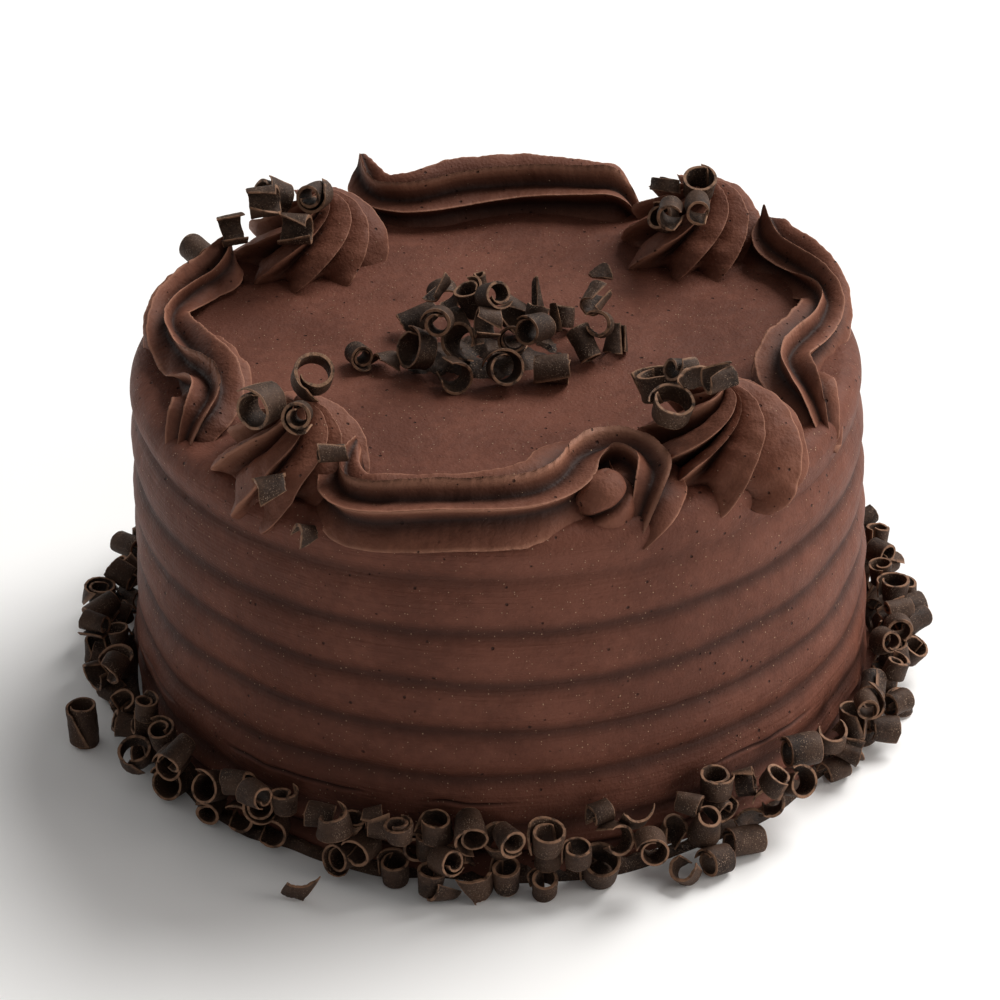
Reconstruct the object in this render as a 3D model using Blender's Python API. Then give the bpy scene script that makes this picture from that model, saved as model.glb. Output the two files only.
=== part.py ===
"""A round chocolate layer cake with combed sides, a piped border and chocolate curls.

Metres, +Z up. The origin is the middle of the cake's flat base, and -Y is the front.
"""

import math
import random
from typing import NamedTuple

import bmesh
import bpy
from mathutils import Matrix, Vector
from mathutils.bvhtree import BVHTree

MM = 0.001

# Cake body
CAKE_HEIGHT = 100 * MM
FOOT_RADIUS = 105.5 * MM
TOP_RADIUS = 100.5 * MM
RIM_ROUND = 8 * MM
RIM_STEPS = 5
CAKE_SIDES = 48
# Combed ridges of the wall
FIRST_GROOVE = 13 * MM
GROOVE_PITCH = 14.8 * MM
GROOVE_COUNT = 6
RIDGE_DEPTH = 1.7 * MM
# The shape of one ridge: how far up it a point lies, and how far out it stands
RIDGE_STEPS = ((0.0, 0.0), (0.18, 0.72), (0.5, 1.0), (0.82, 0.72))
# The foot under the lowest groove: (inset from the wall, height)
FOOT_STEPS = ((1.5 * MM, 0.0), (0.4 * MM, 2.5 * MM), (0.0, 8 * MM))

# Gap between two pieces that touch
GAP = 0.35 * MM

# Piped rope: a star of crests with round hollows between them, on a flat sole
ROPE_RADIUS = 11.5 * MM
ROPE_MIDDLE = 2.5 * MM
ROPE_SOLE = 3.5 * MM
SOLE_SHARE = 0.80
ROPE_STATIONS = 21
CREST_ANGLES = (6, 62, 118, 174)
CREST_DEPTH = 0.30
HOLLOW_STEPS = (0.3, 0.7)
HOLLOW_ROUNDNESS = 0.6
# The tail is lifted to a peak
TAIL_LIFT = 10 * MM
TAIL_LIFT_SHARE = 0.14
# Share of a bend's radius that the rope's inside may fill
BEND_FILL = 0.85

# Rosette: a dome of twisted fins
ROSETTE_RADIUS = 21 * MM
ROSETTE_HEIGHT = 21 * MM
ROSETTE_FINS = 8
ROSETTE_TWIST = math.radians(75)
FIN_STEPS = (0.0, 0.3, 0.7)
FIN_DEPTH = 0.30
# Rows of the dome: share of its radius, share of its height, share of the fin depth
ROSETTE_ROWS = (
    (0.90, -0.16, 0.8),
    (1.00, 0.10, 1.0),
    (0.98, 0.34, 1.1),
    (0.84, 0.60, 1.1),
    (0.58, 0.82, 1.0),
    (0.28, 0.96, 0.8),
)

# Chocolate curls: a sheet of chocolate rolled up, in flat facets
CURL_SHEET = 0.9 * MM
CURL_PITCH = 1.6 * CURL_SHEET
CURL_FACETS = 6
# A settling curl comes down by this step, from this height over the cake's top
SETTLE_STEP = 0.53 * MM
DROP_HEIGHT = 45 * MM

# Small mound under the heap on the top: middle, half its size, height and sides
MOUND_PLACE = (-2 * MM, -5 * MM)
MOUND_REACH = (38 * MM, 20 * MM)
MOUND_HEIGHT = 3 * MM
MOUND_SIDES = 9

# Ring of curls round the foot, on a low uneven bank
FOOT_SEED = 11
FOOT_TRIES = 4
FOOT_INNER = 106.3 * MM
# Room that the ring leaves round the loose curl beside it
LOOSE_CLEARANCE = 1.5 * MM
BANK_RADIUS = 118 * MM
BANK_HEIGHT = 6 * MM
BANK_SIDES = 36
# Outline of the bank: share of the way out, share of its height
BANK_STEPS = ((0.0, 0.0), (1.0, 0.0), (0.92, 0.25), (0.45, 0.8), (0.0, 1.0))
# Courses of the ring: curls in it, distance from the axis, height dropped from
FOOT_COURSES = (
    (24, 116.5 * MM, 16 * MM),
    (20, 111.5 * MM, 28 * MM),
    (14, 113.5 * MM, 36 * MM),
)

# Finishes: base colour and roughness
FINISHES = {
    "buttercream": ((0.115, 0.046, 0.033, 1.0), 0.62),
    "piped_buttercream": ((0.125, 0.051, 0.036, 1.0), 0.58),
    "dark_chocolate": ((0.035, 0.022, 0.016, 1.0), 0.5),
}


class Curl(NamedTuple):
    """One curl: its place in plan and its size in mm, its turns, and how it lies in degrees."""

    x: float
    y: float
    radius: float
    width: float
    turns: float
    heading: float
    tilt: float
    roll: float


# Each scroll's route in plan, from its fine tail to its blunt start, and half its width there
SCROLLS = {
    "front": (
        (-36, -70, 1.2), (-39.5, -79, 7.5), (-34, -89, 10.5), (-18, -92, 11.5), (0, -91, 11.5),
        (13, -85, 11.5), (20, -75, 11.5), (29, -69.5, 11), (36, -75, 10.5), (37, -86, 9.5),
        (32, -95, 7),
    ),
    "right": (
        (78, 54, 1.2), (80, 47, 8.5), (87, 38, 9), (91.5, 25, 7.5), (91.5, 10, 8),
        (86, -4, 10.5), (80, -16, 12), (79, -28, 11.5), (83, -38, 10), (88, -46, 6.5),
    ),
    "back": (
        (-38, 92, 1.2), (-33, 82, 6.5), (-23, 79, 9.5), (-9, 85, 11), (8, 87, 11.5),
        (23, 84.5, 11.5), (34, 82, 11.5), (43, 82, 10),
    ),
    "left": (
        (-75, 46, 1.2), (-78, 40, 8.5), (-86, 31, 8.5), (-90.5, 18, 7), (-89, 4, 8.5),
        (-82.5, -8, 11), (-77.5, -20, 12), (-76, -31, 11), (-79.5, -41, 9.5), (-85, -48, 6.5),
    ),
}

ROSETTES = {
    "front_left": (-54, -65),
    "front_right": (57, -64),
    "back_right": (57, 56),
    "back_left": (-53, 55),
}

# Curls and chips that lie on or beside each rosette, in the order that they are laid
ROSETTE_CURLS = {
    "front_left": (
        Curl(-60, -69, 5.8, 9, 0.85, 235, 10, 60),
        Curl(-46.5, -59, 6.0, 5.5, 0.9, 262, 35, 200),
        Curl(-50, -73, 4.3, 8, 0.95, 262, 20, 90),
        Curl(-42, -80, 2.9, 6.5, 0.9, 192, 5, 0),
        Curl(-57, -86, 6.5, 8, 0.28, 190, -5, 35),
        Curl(-49.5, -91, 4.5, 4.5, 0.4, 200, 20, 20),
    ),
    "front_right": (
        Curl(42, -57, 6.4, 7.5, 0.85, 120, 72, 250),
        Curl(44.5, -71, 6.2, 5, 0.8, 300, 70, 100),
        Curl(47.5, -61, 4.0, 7, 0.9, 215, 25, 0),
        Curl(53, -70.5, 6.5, 5, 0.25, 280, 80, 60),
        Curl(60, -62, 4.3, 8, 0.6, 20, 5, 100),
    ),
    "back_right": (
        Curl(48.5, 44, 4.6, 5.5, 0.85, 230, 40, 100),
        Curl(58.5, 41, 4.2, 7, 0.55, 268, 5, 0),
        Curl(50.5, 36.5, 4.2, 7, 0.55, 262, 5, 0),
        Curl(59, 51, 5.4, 7.5, 0.8, 280, 70, 20),
        Curl(50, 54, 5.0, 4, 0.9, 70, 60, 90),
    ),
    "back_left": (
        Curl(-55.5, 38.5, 5.0, 8.5, 0.5, 355, 0, 190),
        Curl(-64, 40, 5.0, 8, 0.5, 2, 5, 190),
        Curl(-72.5, 42, 5.4, 8, 0.45, 12, 25, 190),
        Curl(-50, 48, 4.7, 9, 0.95, 250, 15, 200),
        Curl(-62, 51, 5.2, 8, 0.85, 205, 30, 40),
    ),
}

# Curls of the heap in the middle of the top, in the order that they are laid
CENTRE_CURLS = (
    Curl(-37, -10, 3.9, 8, 0.95, 290, 12, 30),
    Curl(-21, -13, 5.8, 7, 0.85, 205, 25, 90),
    Curl(-11.5, -23, 4.8, 8, 0.5, 285, 8, 180),
    Curl(2, -22, 5.2, 7, 0.9, 283, 25, 60),
    Curl(15.5, -21, 4.5, 10, 0.92, 352, 3, 100),
    Curl(25, -11, 4.4, 8.5, 0.85, 120, 60, 200),
    Curl(32, -8, 4.2, 10, 0.6, 80, 70, 150),
    Curl(19, 8, 4.6, 8, 0.85, 80, 70, 300),
    Curl(-3.5, 20, 2.9, 9, 0.9, 90, 80, 0),
    Curl(-19, 9, 4.6, 9, 0.4, 20, 10, 40),
    Curl(-12, 6, 4.8, 7, 0.5, 100, 10, 0),
    Curl(-8, -12, 5.2, 9, 0.5, 240, 35, 0),
    Curl(6, 6, 4.8, 9, 0.5, 150, 20, 60),
    Curl(5, -9, 4.3, 7, 0.95, 265, 25, 150),
    Curl(12, -5, 4.2, 8, 0.4, 60, 55, 0),
)

# Loose curls and flakes that lie apart
LOOSE_CURLS = {
    "loose_curl_left": Curl(-117.5, -42.5, 4.8, 11.5, 0.85, 90, 88, 30),
    "loose_curl_back": Curl(-85, 55, 4.6, 8, 0.7, 130, 10, 200),
    "loose_flake_top": Curl(30.5, 39.7, 5.5, 5, 0.2, 20, 5, 55),
}

def link(name, points, faces, finish):
    """Makes a mesh object in the scene from points and faces, with its normals outward."""
    mesh = bpy.data.meshes.new(name)
    mesh.from_pydata([tuple(p) for p in points], [], faces)
    work = bmesh.new()
    work.from_mesh(mesh)
    bmesh.ops.recalc_face_normals(work, faces=work.faces)
    bmesh.ops.triangulate(work, faces=work.faces)
    work.to_mesh(mesh)
    work.free()
    obj = bpy.data.objects.new(name, mesh)
    bpy.context.scene.collection.objects.link(obj)
    mesh.materials.append(material(finish))
    shade(obj)
    return obj


def shade(obj):
    """Shades an object smooth, apart from its crests and other sharp edges."""
    obj.data.shade_smooth()
    obj.data.set_sharp_from_angle(angle=math.radians(40))


def material(finish):
    """The Principled material of a finish, made once."""
    made = bpy.data.materials.get(finish)
    if made is None:
        colour, roughness = FINISHES[finish]
        made = bpy.data.materials.new(finish)
        made.use_nodes = True
        shader = made.node_tree.nodes["Principled BSDF"]
        shader.inputs["Base Color"].default_value = colour
        shader.inputs["Roughness"].default_value = roughness
        shader.inputs["Metallic"].default_value = 0.0
    return made


def skin(rings, looped=False):
    """Points and faces of a skin over rings of equally many points, capped or looped."""
    count = len(rings[0])
    total = count * len(rings)
    faces = []
    for row in range(len(rings) if looped else len(rings) - 1):
        low, high = row * count, (row + 1) * count
        for i in range(count):
            j = (i + 1) % count
            faces.append((low + i, low + j, (high + j) % total, (high + i) % total))
    if not looped:
        faces.append(tuple(reversed(range(count))))
        faces.append(tuple(range(total - count, total)))
    return [p for ring in rings for p in ring], faces


def wall_radius(z):
    """Distance of the cake's wall from its axis, without its ridges."""
    return FOOT_RADIUS + (TOP_RADIUS - FOOT_RADIUS) * z / CAKE_HEIGHT


def rim_profile(grown=0.0):
    """(radius, height) points over the rim, from the wall to the top, grown outward."""
    profile = []
    for step in range(RIM_STEPS + 1):
        turn = math.pi / 2 * step / RIM_STEPS
        across = TOP_RADIUS - RIM_ROUND + (RIM_ROUND + grown) * math.cos(turn)
        z = CAKE_HEIGHT - RIM_ROUND + (RIM_ROUND + grown) * math.sin(turn)
        profile.append((across, z))
    return profile


def wall_profile():
    """(radius, height) points up the wall, from the foot over the combed ridges."""
    profile = [(wall_radius(z) - inset, z) for inset, z in FOOT_STEPS]
    for groove in range(GROOVE_COUNT - 1):
        for along, out in RIDGE_STEPS:
            z = FIRST_GROOVE + (groove + along) * GROOVE_PITCH
            profile.append((wall_radius(z) - (1 - out) * RIDGE_DEPTH, z))
    last = FIRST_GROOVE + (GROOVE_COUNT - 1) * GROOVE_PITCH
    profile.append((wall_radius(last) - RIDGE_DEPTH, last))
    return profile


def turned(profile, name):
    """A solid turned round the Z axis from its outer profile."""
    rings = []
    for radius, z in profile:
        angles = [2 * math.pi * side / CAKE_SIDES for side in range(CAKE_SIDES)]
        rings.append([Vector((radius * math.cos(a), radius * math.sin(a), z)) for a in angles])
    return link(name, *skin(rings), "buttercream")


def smooth_route(points, count):
    """Evenly spaced points on a smooth curve through a route, with unit tangents in plan.

    A point's first two values are its place, and its third is half the rope's width there.
    """
    given = [Vector(point) * MM for point in points]
    ends = [2 * given[0] - given[1]] + given + [2 * given[-1] - given[-2]]
    fine = []
    for i in range(1, len(ends) - 2):
        a, b, c, d = ends[i - 1 : i + 3]
        for step in range(12):
            t = step / 12
            fine.append(
                0.5 * (2 * b + (c - a) * t + (2 * a - 5 * b + 4 * c - d) * t**2
                       + (3 * b - a - 3 * c + d) * t**3)
            )
    fine.append(given[-1])
    reach = [0.0]
    for a, b in zip(fine, fine[1:]):
        reach.append(reach[-1] + (b - a).xy.length)
    places, tangents = [], []
    segment = 0
    for i in range(count):
        target = reach[-1] * i / (count - 1)
        while segment < len(fine) - 2 and reach[segment + 1] < target:
            segment += 1
        share = (target - reach[segment]) / (reach[segment + 1] - reach[segment])
        places.append(fine[segment].lerp(fine[segment + 1], share))
        tangents.append((fine[segment + 1] - fine[segment]).xy.normalized())
    return places, tangents, reach[-1]


def rope_outline(width):
    """(sideways, upward) points of the rope's section: the star over a flat sole.

    Where the rope is narrow it stays fairly tall, as its height goes with the root of its width.
    """
    tall = math.sqrt(width * ROPE_RADIUS)
    outline = [(SOLE_SHARE * width, -ROPE_SOLE)]
    for first, second in zip(CREST_ANGLES, CREST_ANGLES[1:]):
        for stop in (0.0,) + HOLLOW_STEPS:
            angle = math.radians(first + stop * (second - first))
            out = 1 - CREST_DEPTH * math.sin(math.pi * stop) ** HOLLOW_ROUNDNESS
            outline.append((width * out * math.cos(angle), tall * out * math.sin(angle)))
    last = math.radians(CREST_ANGLES[-1])
    outline.append((width * math.cos(last), tall * math.sin(last)))
    outline.append((-SOLE_SHARE * width, -ROPE_SOLE))
    return outline


def squeezed(across, bend):
    """A sideways distance, held short of the centre of a bend on the bend's inside."""
    if bend * across <= 0:
        return across
    return across / (1 + (bend * across / BEND_FILL) ** 4) ** 0.25


def scroll(name, route):
    """A piped scroll: the star section swept along its route, squeezed on the inside of bends."""
    places, tangents, length = smooth_route(route, ROPE_STATIONS)
    last = ROPE_STATIONS - 1
    rings = []
    for i, (place, tangent) in enumerate(zip(places, tangents)):
        bend = tangents[max(0, i - 1)].cross(tangents[min(last, i + 1)]) * last / (2 * length)
        width = place.z
        lift = TAIL_LIFT * max(0.0, 1 - i / last / TAIL_LIFT_SHARE) ** 1.4
        middle = CAKE_HEIGHT + ROPE_MIDDLE * width / ROPE_RADIUS + lift
        side = Vector((-tangent.y, tangent.x))
        ring = []
        for across, up in rope_outline(width):
            plan = place.xy + side * squeezed(across, bend)
            ring.append(Vector((plan.x, plan.y, middle + up)))
        rings.append(ring)
    return link(name, *skin(rings), "piped_buttercream")


def rosette(name, place, grown=0.0):
    """A piped rosette: a dome of twisted fins, grown outward for a cutter."""
    middle = Vector((*place, 0)) * MM
    rings = []
    for share, height, depth in ROSETTE_ROWS:
        up = height * ROSETTE_HEIGHT + math.copysign(grown, height)
        ring = []
        for fin in range(ROSETTE_FINS):
            for step in FIN_STEPS:
                turn = 2 * math.pi * (fin + step) / ROSETTE_FINS
                turn += ROSETTE_TWIST * up / ROSETTE_HEIGHT
                hollow = FIN_DEPTH * depth * math.sin(math.pi * step) ** HOLLOW_ROUNDNESS
                out = share * (1 - hollow) * ROSETTE_RADIUS + grown
                point = Vector((out * math.cos(turn), out * math.sin(turn), CAKE_HEIGHT + up))
                ring.append(middle + point)
        rings.append(ring)
    return link(name, *skin(rings), "piped_buttercream")


def curl_shape(curl):
    """Points and faces of one curl, a strip rolled round its axis, over its place in plan."""
    radius, width = curl.radius * MM, curl.width * MM
    rings = []
    for i in range(CURL_FACETS + 1):
        share = i / CURL_FACETS
        angle = 2 * math.pi * curl.turns * share
        middle = radius - CURL_SHEET / 2 - CURL_PITCH * curl.turns * (1 - share)
        ring = []
        for out, end in ((-0.5, -0.5), (0.5, -0.5), (0.5, 0.5), (-0.5, 0.5)):
            reach = middle + out * CURL_SHEET
            ring.append(Vector((end * width, reach * math.cos(angle), reach * math.sin(angle))))
        rings.append(ring)
    turn = (
        Matrix.Rotation(math.radians(curl.heading), 4, "Z")
        @ Matrix.Rotation(-math.radians(curl.tilt), 4, "Y")
        @ Matrix.Rotation(math.radians(curl.roll), 4, "X")
    )
    points, faces = skin(rings)
    place = Vector((curl.x, curl.y, 0)) * MM
    return [turn @ p + place for p in points], faces


def tree_of(obj):
    """A search tree of an object's faces."""
    return BVHTree.FromPolygons([v.co for v in obj.data.vertices],
                                [tuple(p.vertices) for p in obj.data.polygons])


def lowered(points, faces, bars, start, floor):
    """Lowers a shape from a start height until the next step would touch a bar or the floor."""
    bottom = min(p.z for p in points)
    rest = start
    while rest - SETTLE_STEP > floor:
        trial = [p + Vector((0, 0, rest - SETTLE_STEP - bottom)) for p in points]
        tree = BVHTree.FromPolygons(trial, faces)
        if any(bar.overlap(tree) for bar in bars):
            break
        rest -= SETTLE_STEP
    return [p + Vector((0, 0, rest - bottom)) for p in points]


def sunk(points, depth):
    """The points, moved down by a depth."""
    return [p - Vector((0, 0, depth)) for p in points]


def foot_curl(draw, number, count, reach):
    """One curl of a course of the ring, lying in any direction, pushed clear of the wall."""
    angle = 2 * math.pi * (number + draw.uniform(-0.35, 0.35)) / count
    tilt = draw.uniform(-20, 30) if draw.random() < 0.6 else draw.uniform(60, 90)
    out = reach / MM + draw.uniform(-2, 2.5)
    curl = Curl(
        out * math.cos(angle), out * math.sin(angle),
        draw.uniform(4.4, 6.0), draw.uniform(7, 10), draw.uniform(0.6, 0.92),
        math.degrees(angle) + draw.uniform(-75, 75), tilt, draw.uniform(0, 360),
    )
    points, faces = curl_shape(curl)
    short = max(0.0, FOOT_INNER - min(p.xy.length for p in points))
    push = Vector((short * math.cos(angle), short * math.sin(angle), 0))
    return [p + push for p in points], faces


def beside_loose_curl(points):
    """Whether a curl of the ring comes too near to the loose curl beside it."""
    loose = LOOSE_CURLS["loose_curl_left"]
    middle = Vector((loose.x, loose.y)) * MM
    clearance = loose.radius * MM + LOOSE_CLEARANCE
    return min((p.xy - middle).length for p in points) < clearance


def foot_curls(bank):
    """The curls of the ring: each is tried at a few places, and stays where it lies lowest."""
    draw = random.Random(FOOT_SEED)
    bars = [tree_of(bank)]
    placed = []
    for count, reach, start in FOOT_COURSES:
        for number in range(count):
            tries = []
            for _ in range(FOOT_TRIES):
                points, faces = foot_curl(draw, number, count, reach)
                if beside_loose_curl(points):
                    continue
                points = lowered(points, faces, bars, start, GAP + SETTLE_STEP)
                tries.append((sunk(points, SETTLE_STEP), faces))
            if tries:
                points, faces = min(tries, key=lambda each: max(p.z for p in each[0]))
                bars.append(BVHTree.FromPolygons(points, faces))
                placed.append((points, faces))
    return placed


def main_shell(obj):
    """Keeps the largest closed shell of a mesh, which drops loose scraps and fills sealed hollows."""
    work = bmesh.new()
    work.from_mesh(obj.data)
    unseen = set(work.faces)
    shells = []
    while unseen:
        edge_of = [unseen.pop()]
        shell = []
        while edge_of:
            face = edge_of.pop()
            shell.append(face)
            for edge in face.edges:
                for other in edge.link_faces:
                    if other in unseen:
                        unseen.remove(other)
                        edge_of.append(other)
        shells.append(shell)
    shells.sort(key=len)
    spare = [face for shell in shells[:-1] for face in shell]
    bmesh.ops.delete(work, geom=spare, context="FACES")
    work.to_mesh(obj.data)
    work.free()


def joined(obj, others, operation):
    """Joins or cuts obj with the other objects in one Boolean, then removes them."""
    group = bpy.data.collections.new(obj.name + "_tools")
    bpy.context.scene.collection.children.link(group)
    for other in others:
        bpy.context.scene.collection.objects.unlink(other)
        group.objects.link(other)
    change = obj.modifiers.new("join", "BOOLEAN")
    change.operand_type = "COLLECTION"
    change.collection = group
    change.operation = operation
    bpy.context.view_layer.update()
    graph = bpy.context.evaluated_depsgraph_get()
    finish = obj.data.materials[0]
    obj.data = bpy.data.meshes.new_from_object(obj.evaluated_get(graph))
    obj.modifiers.clear()
    obj.data.materials.clear()
    obj.data.materials.append(finish)
    for other in others:
        bpy.data.objects.remove(other)
    bpy.data.collections.remove(group)
    main_shell(obj)
    shade(obj)


def cake_cutter():
    """The cake's rim and top, grown by the gap that touching pieces keep."""
    low = CAKE_HEIGHT - 3 * RIM_ROUND
    return turned([(wall_radius(low) + GAP, low)] + rim_profile(GAP), "cake_cutter")


def mound():
    """The small mound of chocolate that the heap on the top is built on."""
    rows = ((0.97, GAP), (1.0, 0.3 * MOUND_HEIGHT), (0.75, 0.75 * MOUND_HEIGHT), (0.3, MOUND_HEIGHT))
    middle = Vector((*MOUND_PLACE, CAKE_HEIGHT))
    rings = []
    for share, up in rows:
        ring = []
        for side in range(MOUND_SIDES):
            angle = 2 * math.pi * side / MOUND_SIDES
            out = share * (1 + 0.12 * math.cos(3 * angle + 1))
            across, along = out * MOUND_REACH[0], out * MOUND_REACH[1]
            ring.append(middle + Vector((across * math.cos(angle), along * math.sin(angle), up)))
        rings.append(ring)
    return link("curls_centre", *skin(rings), "dark_chocolate")


def build_cake():
    """The frosted cake with its combed wall."""
    turned(wall_profile() + rim_profile(), "cake")


def build_border():
    """The four rosettes and the four scrolls, each resting on the cake and clear of the next."""
    for name, place in ROSETTES.items():
        made = rosette(f"rosette_{name}", place)
        joined(made, [cake_cutter()], "DIFFERENCE")
    for name, route in SCROLLS.items():
        made = scroll(f"scroll_{name}", route)
        cutters = [rosette("rosette_cutter", place, 2 * GAP) for place in ROSETTES.values()]
        joined(made, [cake_cutter()] + cutters, "DIFFERENCE")


def build_rosette_curls(bars):
    """The curls on each rosette, each a piece that rests on what is under it."""
    for name, curls in ROSETTE_CURLS.items():
        for number, curl in enumerate(curls, 1):
            points, faces = curl_shape(curl)
            start, floor = CAKE_HEIGHT + DROP_HEIGHT, CAKE_HEIGHT - RIM_ROUND
            points = lowered(points, faces, bars, start, floor)
            made = link(f"curl_{name}_{number}", sunk(points, -GAP), faces, "dark_chocolate")
            bars.append(tree_of(made))


def build_centre_curls():
    """The heap of curls in the middle of the top, fused to a small mound."""
    core = mound()
    bars = [tree_of(core)]
    pieces = []
    for curl in CENTRE_CURLS:
        points, faces = curl_shape(curl)
        start, floor = CAKE_HEIGHT + DROP_HEIGHT, CAKE_HEIGHT + GAP + SETTLE_STEP
        points = lowered(points, faces, bars, start, floor)
        pieces.append(link("centre_curl", sunk(points, SETTLE_STEP), faces, "dark_chocolate"))
        bars.append(tree_of(pieces[-1]))
    joined(core, pieces, "UNION")


def foot_bank():
    """The low uneven bank of chocolate that the ring is built on, clear of the wall."""
    rings = []
    for side in range(BANK_SIDES):
        angle = 2 * math.pi * side / BANK_SIDES
        reach = BANK_RADIUS - FOOT_INNER
        reach *= 0.9 + 0.1 * math.sin(7 * angle) + 0.08 * math.sin(17 * angle + 1)
        ring = []
        for share, height in BANK_STEPS:
            out = FOOT_INNER + share * reach
            ring.append(Vector((out * math.cos(angle), out * math.sin(angle), height * BANK_HEIGHT)))
        rings.append(ring)
    return link("curls_foot", *skin(rings, looped=True), "dark_chocolate")


def build_foot_curls():
    """The ring of curls round the foot, fused to its bank."""
    bank = foot_bank()
    pieces = [link("foot_curl", *shape, "dark_chocolate") for shape in foot_curls(bank)]
    joined(bank, pieces, "UNION")


def build_loose_curls(bars):
    """The curls and flakes that lie apart, each resting on what is under it."""
    for name, curl in LOOSE_CURLS.items():
        points, faces = curl_shape(curl)
        points = lowered(points, faces, bars, CAKE_HEIGHT + DROP_HEIGHT, 0.0)
        link(name, sunk(points, -GAP), faces, "dark_chocolate")


def main():
    for obj in list(bpy.data.objects):
        bpy.data.objects.remove(obj)
    build_cake()
    build_border()
    bars = [tree_of(obj) for obj in bpy.data.objects]
    build_rosette_curls(bars)
    build_loose_curls(bars)
    build_centre_curls()
    build_foot_curls()


main()
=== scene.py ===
"""Dresses a packed chocolate layer cake: combed icing, a piped border and chocolate curls.

Metres, +Z up. The origin is the middle of the cake's flat base, and -Y is the front.
Every piece is built from the same sizes as the CAD node that it stands for, and rides
on the part's one body.
"""

import logging
import math
from dataclasses import dataclass, field, replace
from enum import Enum

import bpy
import numpy as np
from mathutils import Matrix, Vector
from mathutils.bvhtree import BVHTree


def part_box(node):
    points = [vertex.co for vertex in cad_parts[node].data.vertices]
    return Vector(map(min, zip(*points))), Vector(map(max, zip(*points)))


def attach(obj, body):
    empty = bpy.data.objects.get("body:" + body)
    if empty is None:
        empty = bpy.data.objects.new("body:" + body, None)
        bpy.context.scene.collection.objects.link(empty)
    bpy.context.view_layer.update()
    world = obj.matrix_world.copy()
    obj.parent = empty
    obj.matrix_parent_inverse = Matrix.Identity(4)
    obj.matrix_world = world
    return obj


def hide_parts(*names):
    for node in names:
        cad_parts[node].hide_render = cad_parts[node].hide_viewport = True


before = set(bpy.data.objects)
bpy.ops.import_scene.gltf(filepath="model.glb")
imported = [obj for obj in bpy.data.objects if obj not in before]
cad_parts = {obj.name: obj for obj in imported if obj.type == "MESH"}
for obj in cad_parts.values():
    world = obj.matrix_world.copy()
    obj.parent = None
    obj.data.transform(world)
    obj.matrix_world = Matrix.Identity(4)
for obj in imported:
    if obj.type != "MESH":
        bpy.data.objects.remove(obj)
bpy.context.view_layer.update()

BODY = "root"
MM = 0.001

CAKE_HEIGHT = 100 * MM
FOOT_RADIUS = 105.5 * MM
TOP_RADIUS = 100.5 * MM
RIM_ROUND = 6 * MM
SHARP_EDGE = 42

Array = np.ndarray

log = logging.getLogger("layer_cake")


class Slot(Enum):
    """The record's material slots."""

    ICING = "buttercream"
    PIPING = "piped_buttercream"
    CHOCOLATE = "dark_chocolate"


class Mask(Enum):
    """Point masks that the meshes carry for their finishes: painted highlights on crests, painted shade in
    crevices, and the chocolate's rims and tones.
    """

    CREST = "crest_highlight"
    CREVICE = "crevice_shade"
    RIM = "rim"
    TONE = "tone"


@dataclass(frozen=True)
class Ripple:
    """A smooth unevenness, made of seeded waves that run in all directions."""

    seed: int
    wavelength: float
    waves: int = 7

    def at(self, points: Array) -> Array:
        """Measures the unevenness.

        Args:
            points: Places, an array whose last axis holds x, y and z.

        Returns:
            A value for each place, mostly from -1 to 1.
        """
        draw = np.random.default_rng(self.seed)
        heading = draw.normal(size=(self.waves, 3))
        heading /= np.linalg.norm(heading, axis=1, keepdims=True)
        pace = 2 * math.pi / self.wavelength * draw.uniform(0.6, 1.5, self.waves)
        phase = draw.uniform(0, 2 * math.pi, self.waves)
        angle = np.asarray(points) @ (heading * pace[:, None]).T + phase
        return np.sin(angle).sum(axis=-1) / math.sqrt(self.waves)

    def along(self, reach: Array) -> Array:
        """The unevenness along a line, at distances from its start."""
        reach = np.asarray(reach, float)
        return self.at(np.stack([reach, 0 * reach, 0 * reach], axis=-1))


def smooth_through(stops: tuple, values: tuple, at: Array) -> Array:
    """Reads a smooth curve that passes through given values.

    Args:
        stops: Rising positions of the given values.
        values: The value at each stop.
        at: Positions to read.

    Returns:
        The curve's value at each position.
    """
    x, y = np.asarray(stops, float), np.asarray(values, float)
    slopes = np.gradient(y, x)
    at = np.clip(at, x[0], x[-1])
    i = np.clip(np.searchsorted(x, at, side="right") - 1, 0, len(x) - 2)
    span = x[i + 1] - x[i]
    t = (at - x[i]) / span
    return (
        (1 + 2 * t) * (1 - t) ** 2 * y[i]
        + t * (1 - t) ** 2 * span * slopes[i]
        + t**2 * (3 - 2 * t) * y[i + 1]
        + t**2 * (t - 1) * span * slopes[i + 1]
    )


def eased(values: Array) -> Array:
    """A smooth step: 0 below 0, 1 above 1, and an S between them."""
    t = np.clip(values, 0, 1)
    return t * t * (3 - 2 * t)


def rim_drop(reach: Array) -> Array:
    """How far the cake's rounded rim lies under its top, at distances from the axis."""
    over = np.clip((reach - (TOP_RADIUS - RIM_ROUND)) / RIM_ROUND, 0, 0.96)
    return RIM_ROUND * (1 - np.sqrt(1 - over**2))


def wall_radius(height: Array) -> Array:
    """Distance of the cake's wall from its axis, without its combed bands."""
    return FOOT_RADIUS + (TOP_RADIUS - FOOT_RADIUS) * height / CAKE_HEIGHT


def unevenness(points: Array, waves: tuple, seed: int) -> Array:
    """Adds up smooth waves.

    Args:
        points: Places, an array whose last axis holds x, y and z.
        waves: The height and the length of each wave.
        seed: The seed of the first wave, which counts up for the others.

    Returns:
        The sum for each place.
    """
    return sum(size * Ripple(seed + number, length).at(points) for number, (size, length) in enumerate(waves))


def full_turn(count: int) -> Array:
    """Evenly spaced angles once round."""
    return np.linspace(0, 2 * math.pi, count, endpoint=False)


def on_circle(angles: Array) -> Array:
    """Places on a circle with a radius of 1."""
    return np.stack([np.cos(angles), np.sin(angles), 0 * angles], axis=-1)


def bell(values: Array, width: float) -> Array:
    """A smooth hump that is 1 at 0 and fades on both sides."""
    return np.exp(-((values / width) ** 2))


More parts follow.
